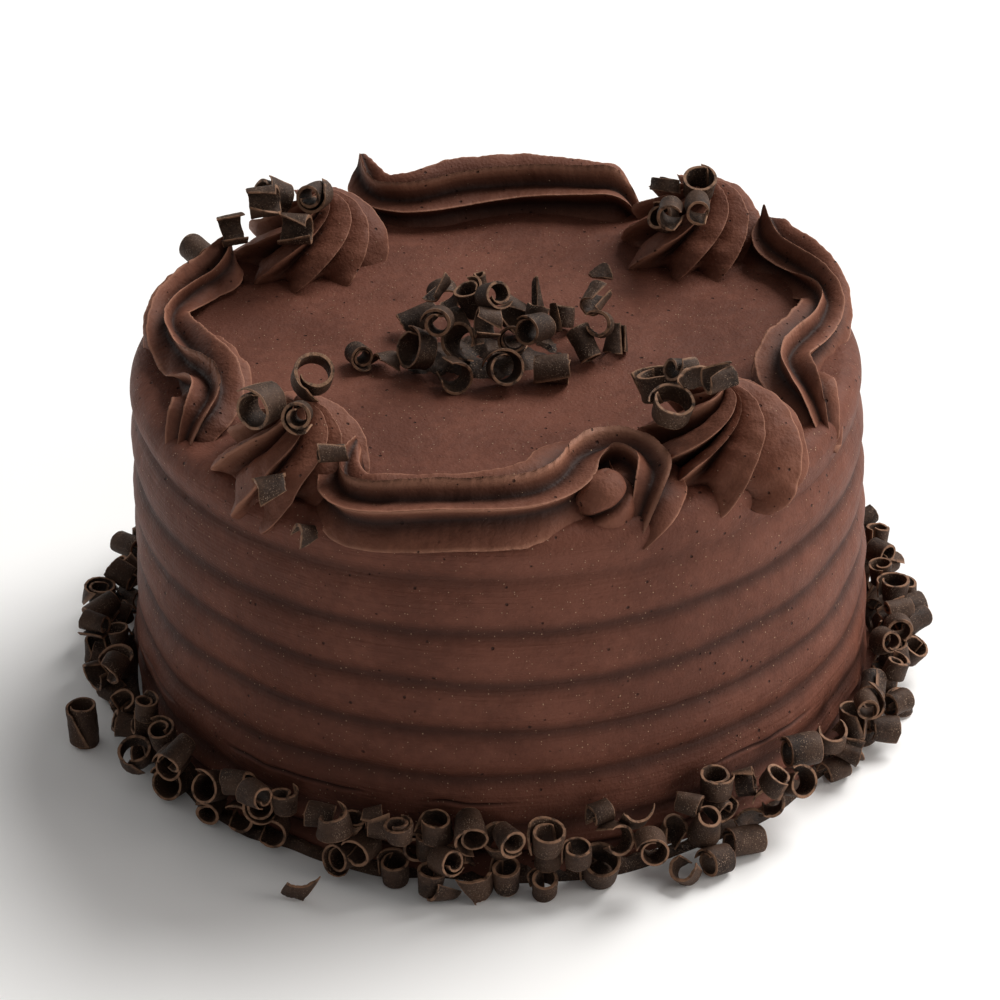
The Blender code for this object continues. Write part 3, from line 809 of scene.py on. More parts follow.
@dataclass
class PipedRope:
    """A piped scroll: a star-shaped rope laid along a route, from its fine tail to its start.

    Each point of the route holds its place in plan and half the rope's width there, in mm,
    and how far the star has turned there, in degrees.
    """

    name: str
    route: tuple
    seed: int
    full_radius: float = 11.5 * MM
    middle: float = 2.5 * MM
    sole: float = 3.5 * MM
    sole_share: float = 0.80
    crests: tuple = (-60, -4, 48, 98, 148, 200, 256)
    hollow_depth: float = 0.48
    hollow_roundness: float = 0.78
    hollow_lean: float = 0.36
    stations: int = 300
    tail_lift: float = 10 * MM
    tail_lift_share: float = 0.14
    tail_spread: float = 1.6
    tail_smoothness: float = 0.75
    tongue_reach: float = 10 * MM
    end_sink: float = 7 * MM
    tongue_length: float = 1.2 * MM
    tongue_thinness: float = 0.45
    end_round: float = 6 * MM
    end_closing: float = 0.8
    bud: tuple = ()
    bud_twist: float = 2.9
    bud_start: float = 3.84
    sole_reach: float = 98.0 * MM
    route_softness: float = 3.4 * MM
    shape_softness: float = 8 * MM
    bend_fill: float = 0.9
    eye_rise: float = 4.0 * MM
    frill: float = 0.035
    rim_follow: float = 0.3
    hollow_stops: tuple = (0.0, 0.02, 0.06, 0.13, 0.22, 0.34, 0.5, 0.66, 0.78, 0.87, 0.94, 0.98)
    hollow_shade: float = 0.95
    highlight_width: float = 0.075
    bend_power: float = 2.4
    least_width: float = 0.5 * MM
    width_waver: tuple = (0.035, 26 * MM)
    roll_waver: tuple = (4.0, 45 * MM)
    waves: tuple = ((0.16 * MM, 7 * MM), (0.05 * MM, 1.7 * MM))
    bud_steps: tuple = (48, 120)
    bud_crease: float = 0.15

    def path(self) -> tuple[Array, Array, Array, float]:
        """The smooth route.

        Returns:
            The route's values at each station, unit tangents, bends, and its length.
        """
        given = np.array(self.route, float) * np.array([MM, MM, MM, 1.0])
        ends = np.concatenate([[2 * given[0] - given[1]], given, [2 * given[-1] - given[-2]]])
        fine = []
        for i in range(1, len(ends) - 2):
            a, b, c, d = ends[i - 1 : i + 3]
            t = np.arange(40)[:, None] / 40
            fine.append(
                0.5 * (2 * b + (c - a) * t + (2 * a - 5 * b + 4 * c - d) * t**2
                       + (3 * b - a - 3 * c + d) * t**3)
            )
        fine = np.concatenate(fine + [given[-1:]])
        steps = np.linalg.norm(np.diff(fine[:, :2], axis=0), axis=1)
        reach = np.concatenate([[0], np.cumsum(steps)])
        at = np.linspace(0, reach[-1], self.stations)
        values = np.stack([np.interp(at, reach, fine[:, k]) for k in range(4)], axis=1)
        step = reach[-1] / (self.stations - 1)
        values = self.softened(values, max(1, round(self.route_softness / step)))
        values[:, 2:] = self.softened(values[:, 2:], max(1, round(self.shape_softness / step)))
        tangents = np.gradient(values[:, :2], axis=0)
        tangents /= np.linalg.norm(tangents, axis=1, keepdims=True)
        ahead, behind = np.roll(tangents, -4, axis=0), np.roll(tangents, 4, axis=0)
        bends = (behind[:, 0] * ahead[:, 1] - behind[:, 1] * ahead[:, 0]) / (8 * step)
        bends[:4], bends[-4:] = bends[4], bends[-5]
        bends = self.softened(bends[:, None], max(1, round(1.5 * self.route_softness / step)))[:, 0]
        return values, tangents, bends, reach[-1]

    @staticmethod
    def softened(values: Array, width: int) -> Array:
        """Rows of values, each averaged with its neighbours within a width, twice."""
        kernel = np.ones(2 * width + 1) / (2 * width + 1)
        for _ in range(2):
            before = 2 * values[:1] - values[width:0:-1]
            after = 2 * values[-1:] - values[-2 : -width - 2 : -1]
            padded = np.concatenate([before, values, after])
            columns = [np.convolve(padded[:, k], kernel, "valid") for k in range(values.shape[1])]
            values = np.stack(columns, axis=1)
        return values

    def build(self, finish: bpy.types.Material) -> bpy.types.Object:
        """Builds the scroll.

        Args:
            finish: The piped icing.

        Returns:
            The scroll.
        """
        values, tangents, bends, length = self.path()
        reach = np.linspace(0, length, self.stations)
        width = values[:, 2] * (1 + self.width_waver[0] * Ripple(self.seed, self.width_waver[1]).along(reach))
        width = np.maximum(width, self.least_width)
        roll = values[:, 3] + self.roll_waver[0] * Ripple(self.seed + 1, self.roll_waver[1]).along(reach)
        end = np.clip(1 - (length - reach) / self.tongue_reach, 0, 1)
        tall = np.sqrt(width * self.full_radius) * (1 - self.tongue_thinness * end**2.2)
        last = np.clip(1 - (length - reach) / self.end_round, 0, 1)
        closed = np.sqrt(1 - (self.end_closing * last) ** 2)
        rise = np.maximum(0, 1 - reach / length / self.tail_lift_share) ** 1.4
        deep = (1 + 0.2 * end) * (1 - self.tail_smoothness * rise)
        across, up, bowl, tongue, low = self.section(width * closed, tall * closed, roll, reach, end, deep)
        share = (width / self.full_radius)[:, None]
        lift = self.tail_lift * rise[:, None]
        over = self.middle * share * closed[:, None]
        level = np.clip((up + over) / (tall[:, None] + over), 0, 1)
        across = across * (1 + self.tail_spread * lift / self.tail_lift * (1 - level))
        load = np.maximum(0, bends[:, None] * across) / self.bend_fill
        across = across / (1 + load**self.bend_power) ** (1 / self.bend_power)
        up = up + self.eye_rise * eased((load - 0.75) / 0.6) * ~low
        side = np.stack([-tangents[:, 1], tangents[:, 0]], axis=1)
        plan = values[:, None, :2] + side[:, None, :] * across[..., None]
        plan = plan + tangents[:, None, :] * tongue[..., None]
        far = np.linalg.norm(plan, axis=2)
        plan = plan * np.where(low, np.minimum(1, self.sole_reach / far), 1.0)[..., None]
        height = CAKE_HEIGHT + over + up + lift * level**1.2 - self.end_sink * end[:, None] ** 2.6
        floor = CAKE_HEIGHT - self.sole
        height = np.where(low, np.minimum(height, floor), height)
        settled = eased(1 - (height - CAKE_HEIGHT) / (0.75 * self.full_radius))
        drop = rim_drop(np.linalg.norm(plan, axis=2))
        height = height - drop * settled * np.where(low, 1.0, self.rim_follow)
        rings = np.concatenate([plan, height[..., None]], axis=2)
        rough = unevenness(rings, self.waves, self.seed + 2)
        rings[..., 2] += rough * ~low
        rings[..., :2] += side[:, None, :] * (rough * np.sign(across))[..., None]
        # Painted highlight runs along the star's crests.
        from_crest = 1 - np.abs(2 * np.array(self.column_stops()) - 1)
        crest_highlight = bell(from_crest, self.highlight_width) * ~low
        # Painted shade in the rope's hollows.
        hollow = self.hollow_shade * bowl**2.4
        skin = Skin.of_rings(rings, {Mask.CREST: crest_highlight, Mask.CREVICE: hollow})
        if self.bud:
            skin = Skin.joined([skin, self.bud_skin()])
        return skin.made(f"piped_{self.name}", finish)

    def bud_skin(self) -> Skin:
        """The rounded bud of icing that fills the inside of a tight hook."""
        x, y, radius, height = self.bud
        rise = np.linspace(-0.4, math.pi / 2 - 0.05, self.bud_steps[0])[:, None]
        turn = full_turn(self.bud_steps[1])[None, :]
        swirl = turn - self.bud_twist * np.maximum(rise, 0) - self.bud_start
        crease = bell(np.sin(0.5 * swirl), self.bud_crease) * np.clip(1.2 * np.cos(rise), 0, 1)
        out = radius * np.cos(rise) ** 0.8 * (1 - 0.3 * crease)
        up = CAKE_HEIGHT / MM + height * np.sin(rise) * (1 - 0.2 * crease)
        rings = np.stack([x + out * np.cos(turn), y + out * np.sin(turn), up], axis=-1) * MM
        rings += 0.2 * MM * Ripple(self.seed + 9, 6 * MM).at(rings)[..., None]
        # Painted shade in the bud's creases.
        return Skin.of_rings(rings, {Mask.CREST: 0 * crease, Mask.CREVICE: 0.92 * crease})

    def column_stops(self) -> list[float]:
        """How far each column of the section lies on its way from one ridge of the star to the next."""
        return list(self.hollow_stops) * (len(self.crests) - 1)

    def section(
        self, width: Array, tall: Array, roll: Array, reach: Array, end: Array, deep: Array
    ) -> tuple[Array, Array, Array, Array, Array]:
        """The star section at each station.

        Args:
            width: Half the rope's width at each station.
            tall: The star's height over its middle at each station.
            roll: Degrees that the star is turned at each station.
            reach: Distance of each station along the route.
            end: How far each station is into the rope's end, from 0 to 1.
            deep: How deep the hollows are at each station, as a share of their usual depth.

        Returns:
            Sideways and upward distances, how deep in a hollow each point lies, how far it
            is pushed along the route, and which points belong to the sole.
        """
        sideways, upward, bowls, tongues = [], [], [], []
        draw = np.random.default_rng(self.seed)
        longer = draw.uniform(0.35, 1.0, len(self.crests))
        for number, (first, second) in enumerate(zip(self.crests, self.crests[1:])):
            depth = self.hollow_depth * draw.uniform(0.9, 1.12) * deep
            lean = self.hollow_lean * (1.5 if first < 90 else -1.0) + draw.uniform(-0.06, 0.06)
            drift = self.frill * Ripple(int(draw.integers(1000)), 26 * MM).along(reach)
            ragged = 0.008 * Ripple(int(draw.integers(1000)), 5 * MM).along(reach)
            for stop in self.hollow_stops:
                bowl = math.sin(math.pi * stop ** (1 + lean)) ** self.hollow_roundness
                angle = np.radians(first + stop * (second - first) + roll)
                out = 1 - (depth + drift) * bowl + ragged * (1 - bowl) ** 3
                sideways.append(width * out * np.cos(angle))
                upward.append(tall * out * np.sin(angle))
                bowls.append(bowl + 0 * width)
                push = longer[number] + (longer[number + 1] - longer[number]) * stop
                tongues.append(self.tongue_length * end**2 * (push - 0.9 * bowl))
        across, up = np.stack(sideways, axis=1), np.stack(upward, axis=1)
        floor = -self.sole - self.middle * (width / self.full_radius)[:, None]
        low = up < floor
        edge = self.sole_share * np.maximum(width, 0.3 * self.full_radius)[:, None]
        across = np.where(low, np.clip(across, -edge, edge), across)
        up = np.where(low, floor, up)
        return across, up, np.stack(bowls, axis=1), np.stack(tongues, axis=1), low


@dataclass
class PipedRosette:
    """A piped rosette: leaf-like fins that sweep up to an off-centre peak."""

    name: str
    centre: tuple
    phase: float
    peak: tuple
    seed: int
    radius: float = 21.5 * MM
    height: float = 21 * MM
    fins: int = 9
    rows: int = 96
    twist: float = 118.0
    steps: tuple = (
        0.0, 0.015, 0.04, 0.08, 0.13, 0.19, 0.26, 0.34, 0.43, 0.53, 0.63, 0.73, 0.82, 0.9, 0.96, 0.985
    )
    row_stops: tuple = (0.0, 0.05, 0.11, 0.20, 0.34, 0.50, 0.66, 0.82, 0.93, 1.0)
    crest_out: tuple = (0.86, 0.97, 1.02, 1.01, 0.93, 0.78, 0.58, 0.34, 0.17, 0.05)
    crest_up: tuple = (-0.16, -0.06, 0.05, 0.20, 0.42, 0.62, 0.78, 0.89, 0.94, 0.96)
    valley_out: tuple = (0.56, 0.56, 0.56, 0.53, 0.44, 0.34, 0.24, 0.14, 0.07, 0.03)
    valley_up: tuple = (-0.16, -0.10, -0.02, 0.08, 0.25, 0.41, 0.56, 0.71, 0.82, 0.93)
    notch_stops: tuple = (0.0, 0.05, 0.13, 0.28, 0.48, 0.74, 1.0)
    notch_depths: tuple = (0.0, 0.72, 1.0, 0.72, 0.42, 0.17, 0.0)
    waves: tuple = ((0.18 * MM, 7 * MM), (0.05 * MM, 1.8 * MM))

    def build(self, finish: bpy.types.Material) -> bpy.types.Object:
        """Builds the rosette.

        Args:
            finish: The piped icing.

        Returns:
            The rosette.
        """
        draw = np.random.default_rng(self.seed)
        share = np.linspace(0, 1, self.rows)
        crest_out = smooth_through(self.row_stops, self.crest_out, share)
        crest_up = smooth_through(self.row_stops, self.crest_up, share)
        valley_out = smooth_through(self.row_stops, self.valley_out, share)
        valley_up = smooth_through(self.row_stops, self.valley_up, share)
        leaf = eased(share / 0.3)
        columns = []
        for fin in range(self.fins):
            start = 360 / self.fins * (fin + draw.uniform(-0.16, 0.16))
            columns.append((start, draw.uniform(0.90, 1.08), draw.uniform(0.85, 1.12), draw.uniform(-12, 12)))
        outs, ups, turns, crest_highlight, hollow = [], [], [], [], []
        for fin, (start, reach, deep, bend) in enumerate(columns):
            after = columns[(fin + 1) % self.fins]
            following = after[0] + (360 if fin == self.fins - 1 else 0)
            for step in self.steps:
                notch = float(smooth_through(self.notch_stops, self.notch_depths, np.array(step)))
                tongue = math.sin(math.pi * step) ** 1.6
                bowl = (tongue + (notch - tongue) * leaf) * deep
                size = reach + (after[1] - reach) * step
                outs.append((crest_out * (1 - bowl) + valley_out * bowl) * size)
                ups.append(crest_up * (1 - bowl) + valley_up * bowl)
                sweep = self.twist * (0.7 * share + 0.3 * share**2)
                sweep = sweep + bend * (1 - step) * share + after[3] * step * share
                turns.append(np.radians(start + (following - start) * step + sweep + self.phase))
                # Painted highlight along the fins' crests.
                near = math.exp(-((min(step, 1.6 * (1 - step)) / 0.028) ** 2))
                crest_highlight.append(near * eased(share / 0.12))
                # Painted shade in the hollows between the fins.
                hollow.append(0.95 * np.clip(bowl, 0, 1) ** 2.6 * eased(1.15 - 0.6 * share))
        out, up, turn = (np.stack(values, axis=1) for values in (outs, ups, turns))
        shift = (share**1.6)[:, None]
        x = self.centre[0] * MM + self.peak[0] * MM * shift + self.radius * out * np.cos(turn)
        y = self.centre[1] * MM + self.peak[1] * MM * shift + self.radius * out * np.sin(turn)
        z = CAKE_HEIGHT + self.height * up
        rings = np.stack([x, y, z], axis=-1)
        settled = eased(1 - up / 0.75)
        rings[..., 2] -= rim_drop(np.hypot(x, y)) * settled
        rough = unevenness(rings, self.waves, self.seed + 2)
        rings[..., 2] += rough
        rings[..., 0] += rough * np.cos(turn)
        rings[..., 1] += rough * np.sin(turn)
        masks = {Mask.CREST: np.stack(crest_highlight, axis=1), Mask.CREVICE: np.stack(hollow, axis=1)}
        return Skin.of_rings(rings, masks).made(f"piped_{self.name}", finish)


class Bed:
    """Everything already laid, for curls to be let down on."""

    def __init__(self, step: float = 0.8 * MM) -> None:
        """Starts empty.

        Args:
            step: How far a curl comes down before it is tested again.
        """
        self.step = step
        self.things = []

    def lay(self, skin: Skin) -> None:
        """Adds a thing that later curls rest on."""
        tree = BVHTree.FromPolygons(skin.points.tolist(), [tuple(face) for face in skin.faces])
        self.things.append((skin.points.min(axis=0), skin.points.max(axis=0), tree))

    def lay_object(self, piece: bpy.types.Object) -> None:
        """Adds a finished piece of the scene."""
        points = np.empty(len(piece.data.vertices) * 3)
        piece.data.vertices.foreach_get("co", points)
        faces = [tuple(polygon.vertices) for polygon in piece.data.polygons]
        self.lay(Skin(points.reshape(-1, 3), faces))

    def let_down(self, skin: Skin, floor: float, sink: float) -> float:
        """Lets a thing down until it touches another or the floor.

        Args:
            skin: A rough copy of the thing, at any height.
            floor: The lowest that it may reach.
            sink: How far it settles into what it touches.

        Returns:
            The move that brings it to rest, upward when it is positive.
        """
        low, high = skin.points.min(axis=0), skin.points.max(axis=0)
        under = []
        top = floor
        for least, most, tree in self.things:
            if np.all(least[:2] < high[:2]) and np.all(most[:2] > low[:2]):
                under.append(tree)
                top = max(top, most[2])
        faces = [tuple(face) for face in skin.faces]

        def touches(move: float) -> bool:
            """Whether the thing touches another when it is moved up by a distance."""
            tree = BVHTree.FromPolygons((skin.points + np.array([0, 0, move])).tolist(), faces)
            return any(tree.overlap(other) for other in under)

        move = top - low[2] + 0.5 * MM
        last = floor - low[2]
        while move - self.step > last and not touches(move - self.step):
            move -= self.step
        if move - self.step <= last:
            return last if not touches(last) else move
        short = self.step
        for _ in range(3):
            short /= 2
            if not touches(move - short):
                move -= short
        return max(last, move - sink)


@dataclass(frozen=True)
class Curl:
    """One curl of shaved chocolate, in mm and degrees, before it rolls into its place.

    A strip of the given width is rolled round its own axis. The heading and tilt say
    where that axis points, and the roll turns the strip round it.
    """

    x: float
    y: float
    radius: float
    width: float
    turns: float
    heading: float
    tilt: float
    roll: float
    seed: int
    thickness: float = 0.94
    cone: float = 0.1
    skew: float = 0.0
    open_up: float = 0.0
    rim_width: float = 0.30
    pitch: float = 1.35
    wave_height: float = 0.16
    fine_height: float = 0.05

    def skin(self, around: int = 34, across: int = 7) -> Skin:
        """Rolls the strip up.

        Args:
            around: Steps along the strip.
            across: Steps across it.

        Returns:
            The curl over its place in plan, at no particular height.
        """
        draw = np.random.default_rng(self.seed + 1000)
        u = np.linspace(0, 1, around + 1)[:, None]
        edge = self.rim_width / self.width
        middle = np.linspace(-0.5, 0.5, across)[1:-1]
        w = np.concatenate([[-0.5, -0.5 + edge], middle, [0.5 - edge, 0.5]])[None, :]
        half = self.thickness / 2 * np.clip(np.minimum(u, 1 - u) * 9, 0.45, 1.0) * draw.uniform(0.85, 1.1)
        pitch = self.pitch * self.thickness
        ragged = 0.5 * (draw.random(4) - 0.5)
        slant = draw.uniform(-0.35, 0.35, 2)
        ends = slant[0] * (1 - u) ** 6 + slant[1] * u**6
        angle = 2 * math.pi * self.turns * u + ends * w * 3.0
        sheet = np.stack([u + 0 * w, w + 0 * u, 0 * u * w], axis=-1)
        wave = Ripple(self.seed, 1.5).at(sheet)
        fine = Ripple(self.seed + 1, 0.35).at(sheet)
        radius = self.radius - half - pitch * self.turns * (1 - u) - self.open_up * (1 - u) ** 2
        radius = radius * (1 + self.cone * w) + self.wave_height * wave + self.fine_height * fine
        at_sides = np.abs(w * 2) ** 3
        outline = 0.22 * Ripple(self.seed + 2, 0.5).along(u[:, 0])[:, None] * at_sides
        outline += 0.10 * Ripple(self.seed + 3, 0.13).along(u[:, 0])[:, None] * at_sides
        taper = 1 + ragged[0] * (u - 0.5) + ragged[1] * np.sin(math.pi * u)
        x = self.width * w * taper + outline + self.skew * (u - 0.5)
        sides = []
        for out in (1, -1):
            reach = radius + out * half * (1 - 0.25 * (np.abs(w) > 0.49))
            side = np.stack([x, reach * np.cos(angle), reach * np.sin(angle)], axis=-1)
            sides.append(side if out > 0 else side[:, ::-1])
        rings = np.concatenate(sides, axis=1) * MM
        near_side = np.clip((0.5 - np.abs(w)) / edge, 0, 1)
        near_end = np.clip(np.minimum(u, 1 - u) * around, 0, 1)
        rim = 1 - near_side * near_end
        rim = np.concatenate([rim, rim[:, ::-1]], axis=1)
        tone = np.clip(0.5 + 0.5 * wave, 0, 1)
        tone = np.concatenate([tone, 0.2 * tone[:, ::-1]], axis=1)
        turn = (
            Matrix.Rotation(math.radians(self.heading), 3, "Z")
            @ Matrix.Rotation(-math.radians(self.tilt), 3, "Y")
            @ Matrix.Rotation(math.radians(self.roll), 3, "X")
        )
        rings = rings @ np.array(turn).T + np.array([self.x, self.y, 0]) * MM
        return Skin.of_rings(rings, {Mask.RIM: rim, Mask.TONE: tone})

    def rough(self) -> Skin:
        """A copy with few faces, for finding where the curl comes to rest."""
        return self.skin(16, 3)

    def laid(self, bed: "Bed", floor: float, sink: float, around: int = 34, across: int = 7) -> Skin:
        """Lets the curl down on what lies under it, and leaves it there.

        Args:
            bed: What it rests on, which it then joins.
            floor: The lowest that it may reach.
            sink: How far it settles into what it touches.
            around: Steps along the strip.
            across: Steps across it.

        Returns:
            The curl in its place.
        """
        rough = self.rough()
        up = np.array([0, 0, bed.let_down(rough, floor, sink)])
        bed.lay(rough.moved(up))
        return self.skin(around, across).moved(up)


@dataclass
class RosetteCurls:
    """The curls on and beside the rosettes, each the stand-in of its own CAD node."""

    curls: dict
    sink: float = 0.5 * MM

    def build(self, bed: Bed, finish: bpy.types.Material) -> None:
        """Lays the curls in their order.

        Args:
            bed: What they rest on.
            finish: The chocolate.
        """
        for node, curl in self.curls.items():
            skin = curl.laid(bed, 0.0, self.sink)
            name = node.replace("curl", "shaved_curl").replace("flake", "shaved_flake")
            stand_for(skin.made(name, finish, SHARP_EDGE), node)
            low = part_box(node)[0]
            log.info("  lowest %.1f mm, CAD %.1f mm", skin.points[:, 2].min() / MM, low.z / MM)


@dataclass
class CurlHeap:
    """The heap of curls in the middle of the top, over a small bed of crumbs."""

    curls: tuple
    middle: tuple = (-2.0, -5.0)
    reach: tuple = (33.0, 14.0)
    crumb_height: float = 2.2 * MM
    crumb_waves: tuple = ((1.0, 9 * MM), (0.6, 3.5 * MM))
    crumb_steps: tuple = (72, 16)
    sink: float = 0.6 * MM

    def core(self) -> Skin:
        """The bed of crumbs that joins the curls."""
        turn = full_turn(self.crumb_steps[0])
        out = np.linspace(1, 0.02, self.crumb_steps[1])[:, None]
        x = (self.middle[0] + self.reach[0] * out * np.cos(turn)) * MM
        y = (self.middle[1] + self.reach[1] * out * np.sin(turn)) * MM
        rings = np.stack([x, y, CAKE_HEIGHT + 0 * x], axis=-1)
        lumps = unevenness(rings, self.crumb_waves, 81)
        rings[..., 2] += self.crumb_height * (0.55 - 1.6 * out**3 + 0.35 * lumps)
        return Skin.of_rings(rings, {Mask.RIM: 0 * x, Mask.TONE: 0 * x})

    def build(self, bed: Bed, finish: bpy.types.Material) -> None:
        """Piles the heap up.

        Args:
            bed: What it rests on.
            finish: The chocolate.
        """
        skins = [self.core()]
        bed.lay(skins[0])
        for curl in self.curls:
            skins.append(curl.laid(bed, CAKE_HEIGHT, self.sink))
        piece = Skin.joined(skins).made("shaved_curls_centre", finish, SHARP_EDGE)
        stand_for(piece, "curls_centre")


@dataclass
class FootRing:
    """The ring of curls round the foot: the ones seen in front, then seeded ones all round."""

    front: tuple
    seed: int = 11
    inner: float = 107.0 * MM
    courses: tuple = ((64, 111.5), (60, 117.0), (60, 112.0), (56, 115.0), (54, 111.0), (50, 113.0))
    tries: int = 5
    front_from: float = -165.0
    front_to: float = -48.0
    front_fill: float = 0.9
    sink: float = 0.6 * MM
    highest: float = 24 * MM
    reach_limit: float = 124 * MM
    apart: tuple = (-117.5, -42.5, 7.5)
    radii: tuple = (3.9, 5.4)
    widths: tuple = (5.5, 8.5)
    turns: tuple = (0.7, 1.6)
    thicknesses: tuple = (0.75, 1.05)
    standing_share: float = 0.4
    standing_tilts: tuple = (58.0, 95.0)
    lying_tilts: tuple = (-20.0, 32.0)
    first_seed: int = 500
    plain_steps: tuple = (24, 4)
    core_columns: int = 420
    core_shares: tuple = (0.0, 0.12, 0.3, 0.5, 0.7, 0.86, 1.0)
    core_inset: float = 1.2 * MM
    core_width: float = 5.2 * MM
    core_height: float = 2.0 * MM
    core_lift: float = 0.05 * MM
    core_waves: tuple = ((1.0, 8 * MM), (0.6, 3 * MM))

    def core(self) -> Skin:
        """The low ring of crumbs that joins the curls."""
        turn = full_turn(self.core_columns)
        share = np.array(self.core_shares)
        width = self.core_width * (1 + 0.2 * Ripple(91, 0.25).at(on_circle(turn)))[:, None]
        turn = turn[:, None]
        radius = self.inner - self.core_inset + width * share
        rings = np.stack([radius * np.cos(turn), radius * np.sin(turn), 0 * radius], axis=-1)
        lumps = unevenness(rings, self.core_waves, 92)
        rings[..., 2] = np.sin(math.pi * share) ** 0.6 * (self.core_height + lumps * MM) + self.core_lift
        rings[..., 2] = np.maximum(rings[..., 2], self.core_lift)
        return Skin.of_rings(rings, {Mask.RIM: 0 * radius, Mask.TONE: 0 * radius}, looped=True)

    def drawn(self, draw: np.random.Generator, angle: float, reach: float, seed: int) -> Curl:
        """Draws one curl of a course.

        Args:
            draw: The source of chance.
            angle: Its angle round the cake, in degrees.
            reach: Its distance from the axis, in mm.
            seed: The seed of its own unevenness.

        Returns:
            The curl.
        """
        turn = math.radians(angle)
        standing = draw.random() < self.standing_share
        return Curl(
            reach * math.cos(turn), reach * math.sin(turn),
            draw.uniform(*self.radii), draw.uniform(*self.widths), draw.uniform(*self.turns),
            angle + draw.uniform(-80, 80),
            draw.uniform(*self.standing_tilts if standing else self.lying_tilts),
            draw.uniform(0, 360), cone=draw.uniform(-0.35, 0.35), skew=draw.uniform(-2, 2),
            thickness=draw.uniform(*self.thicknesses), open_up=draw.uniform(0, 1.2), seed=seed,
        )

    def cleared(self, curl: Curl) -> tuple[Curl, Array, float]:
        """Pushes a curl out until it is clear of the wall.

        Args:
            curl: The curl.

        Returns:
            The pushed curl, its outline in plan before that, and how far it was pushed.
        """
        plan = curl.rough().points[:, :2]
        short = max(0.0, self.inner - np.linalg.norm(plan, axis=1).min())
        grown = 1 + short / MM / math.hypot(curl.x, curl.y)
        return replace(curl, x=curl.x * grown, y=curl.y * grown), plan, short

    def pushed(self, curl: Curl) -> Curl | None:
        """A curl clear of the wall, or nothing if it lies too far out or by the loose curl."""
        curl, plan, short = self.cleared(curl)
        if np.linalg.norm(plan, axis=1).max() + short > self.reach_limit:
            return None
        spot = np.array(self.apart[:2]) * MM
        if np.linalg.norm(plan - spot, axis=1).min() < self.apart[2] * MM:
            return None
        return curl

    def build(self, bed: Bed, finish: bpy.types.Material) -> None:
        """Lays the ring.

        Args:
            bed: What it rests on.
            finish: The chocolate.
        """
        core = self.core()
        bed.lay(core)
        skins = [core]
        for curl in self.front:
            curl = self.cleared(curl)[0]
            rough = curl.rough()
            if rough.points[:, 2].max() + bed.let_down(rough, 0.0, self.sink) < self.highest:
                skins.append(curl.laid(bed, 0.0, self.sink))
        draw = np.random.default_rng(self.seed)
        seed = self.first_seed
        for count, reach in self.courses:
            for number in range(count):
                angle = 360 * (number + draw.uniform(-0.4, 0.4)) / count - 180
                if self.front_from < angle < self.front_to and draw.random() > self.front_fill:
                    continue
                best = None
                for _ in range(self.tries):
                    seed += 5
                    curl = self.pushed(self.drawn(draw, angle, reach + draw.uniform(-2, 2), seed))
                    if curl is None:
                        continue
                    rough = curl.rough()
                    top = rough.points[:, 2].max() + bed.let_down(rough, 0.0, self.sink)
                    if best is None or top < best[0]:
                        best = (top, curl)
                if best and best[0] < self.highest:
                    skins.append(best[1].laid(bed, 0.0, self.sink, *self.plain_steps))
        piece = Skin.joined(skins).made("shaved_curls_foot", finish, SHARP_EDGE)
        stand_for(piece, "curls_foot")
        log.info("the foot ring holds %d curls", len(skins) - 1)


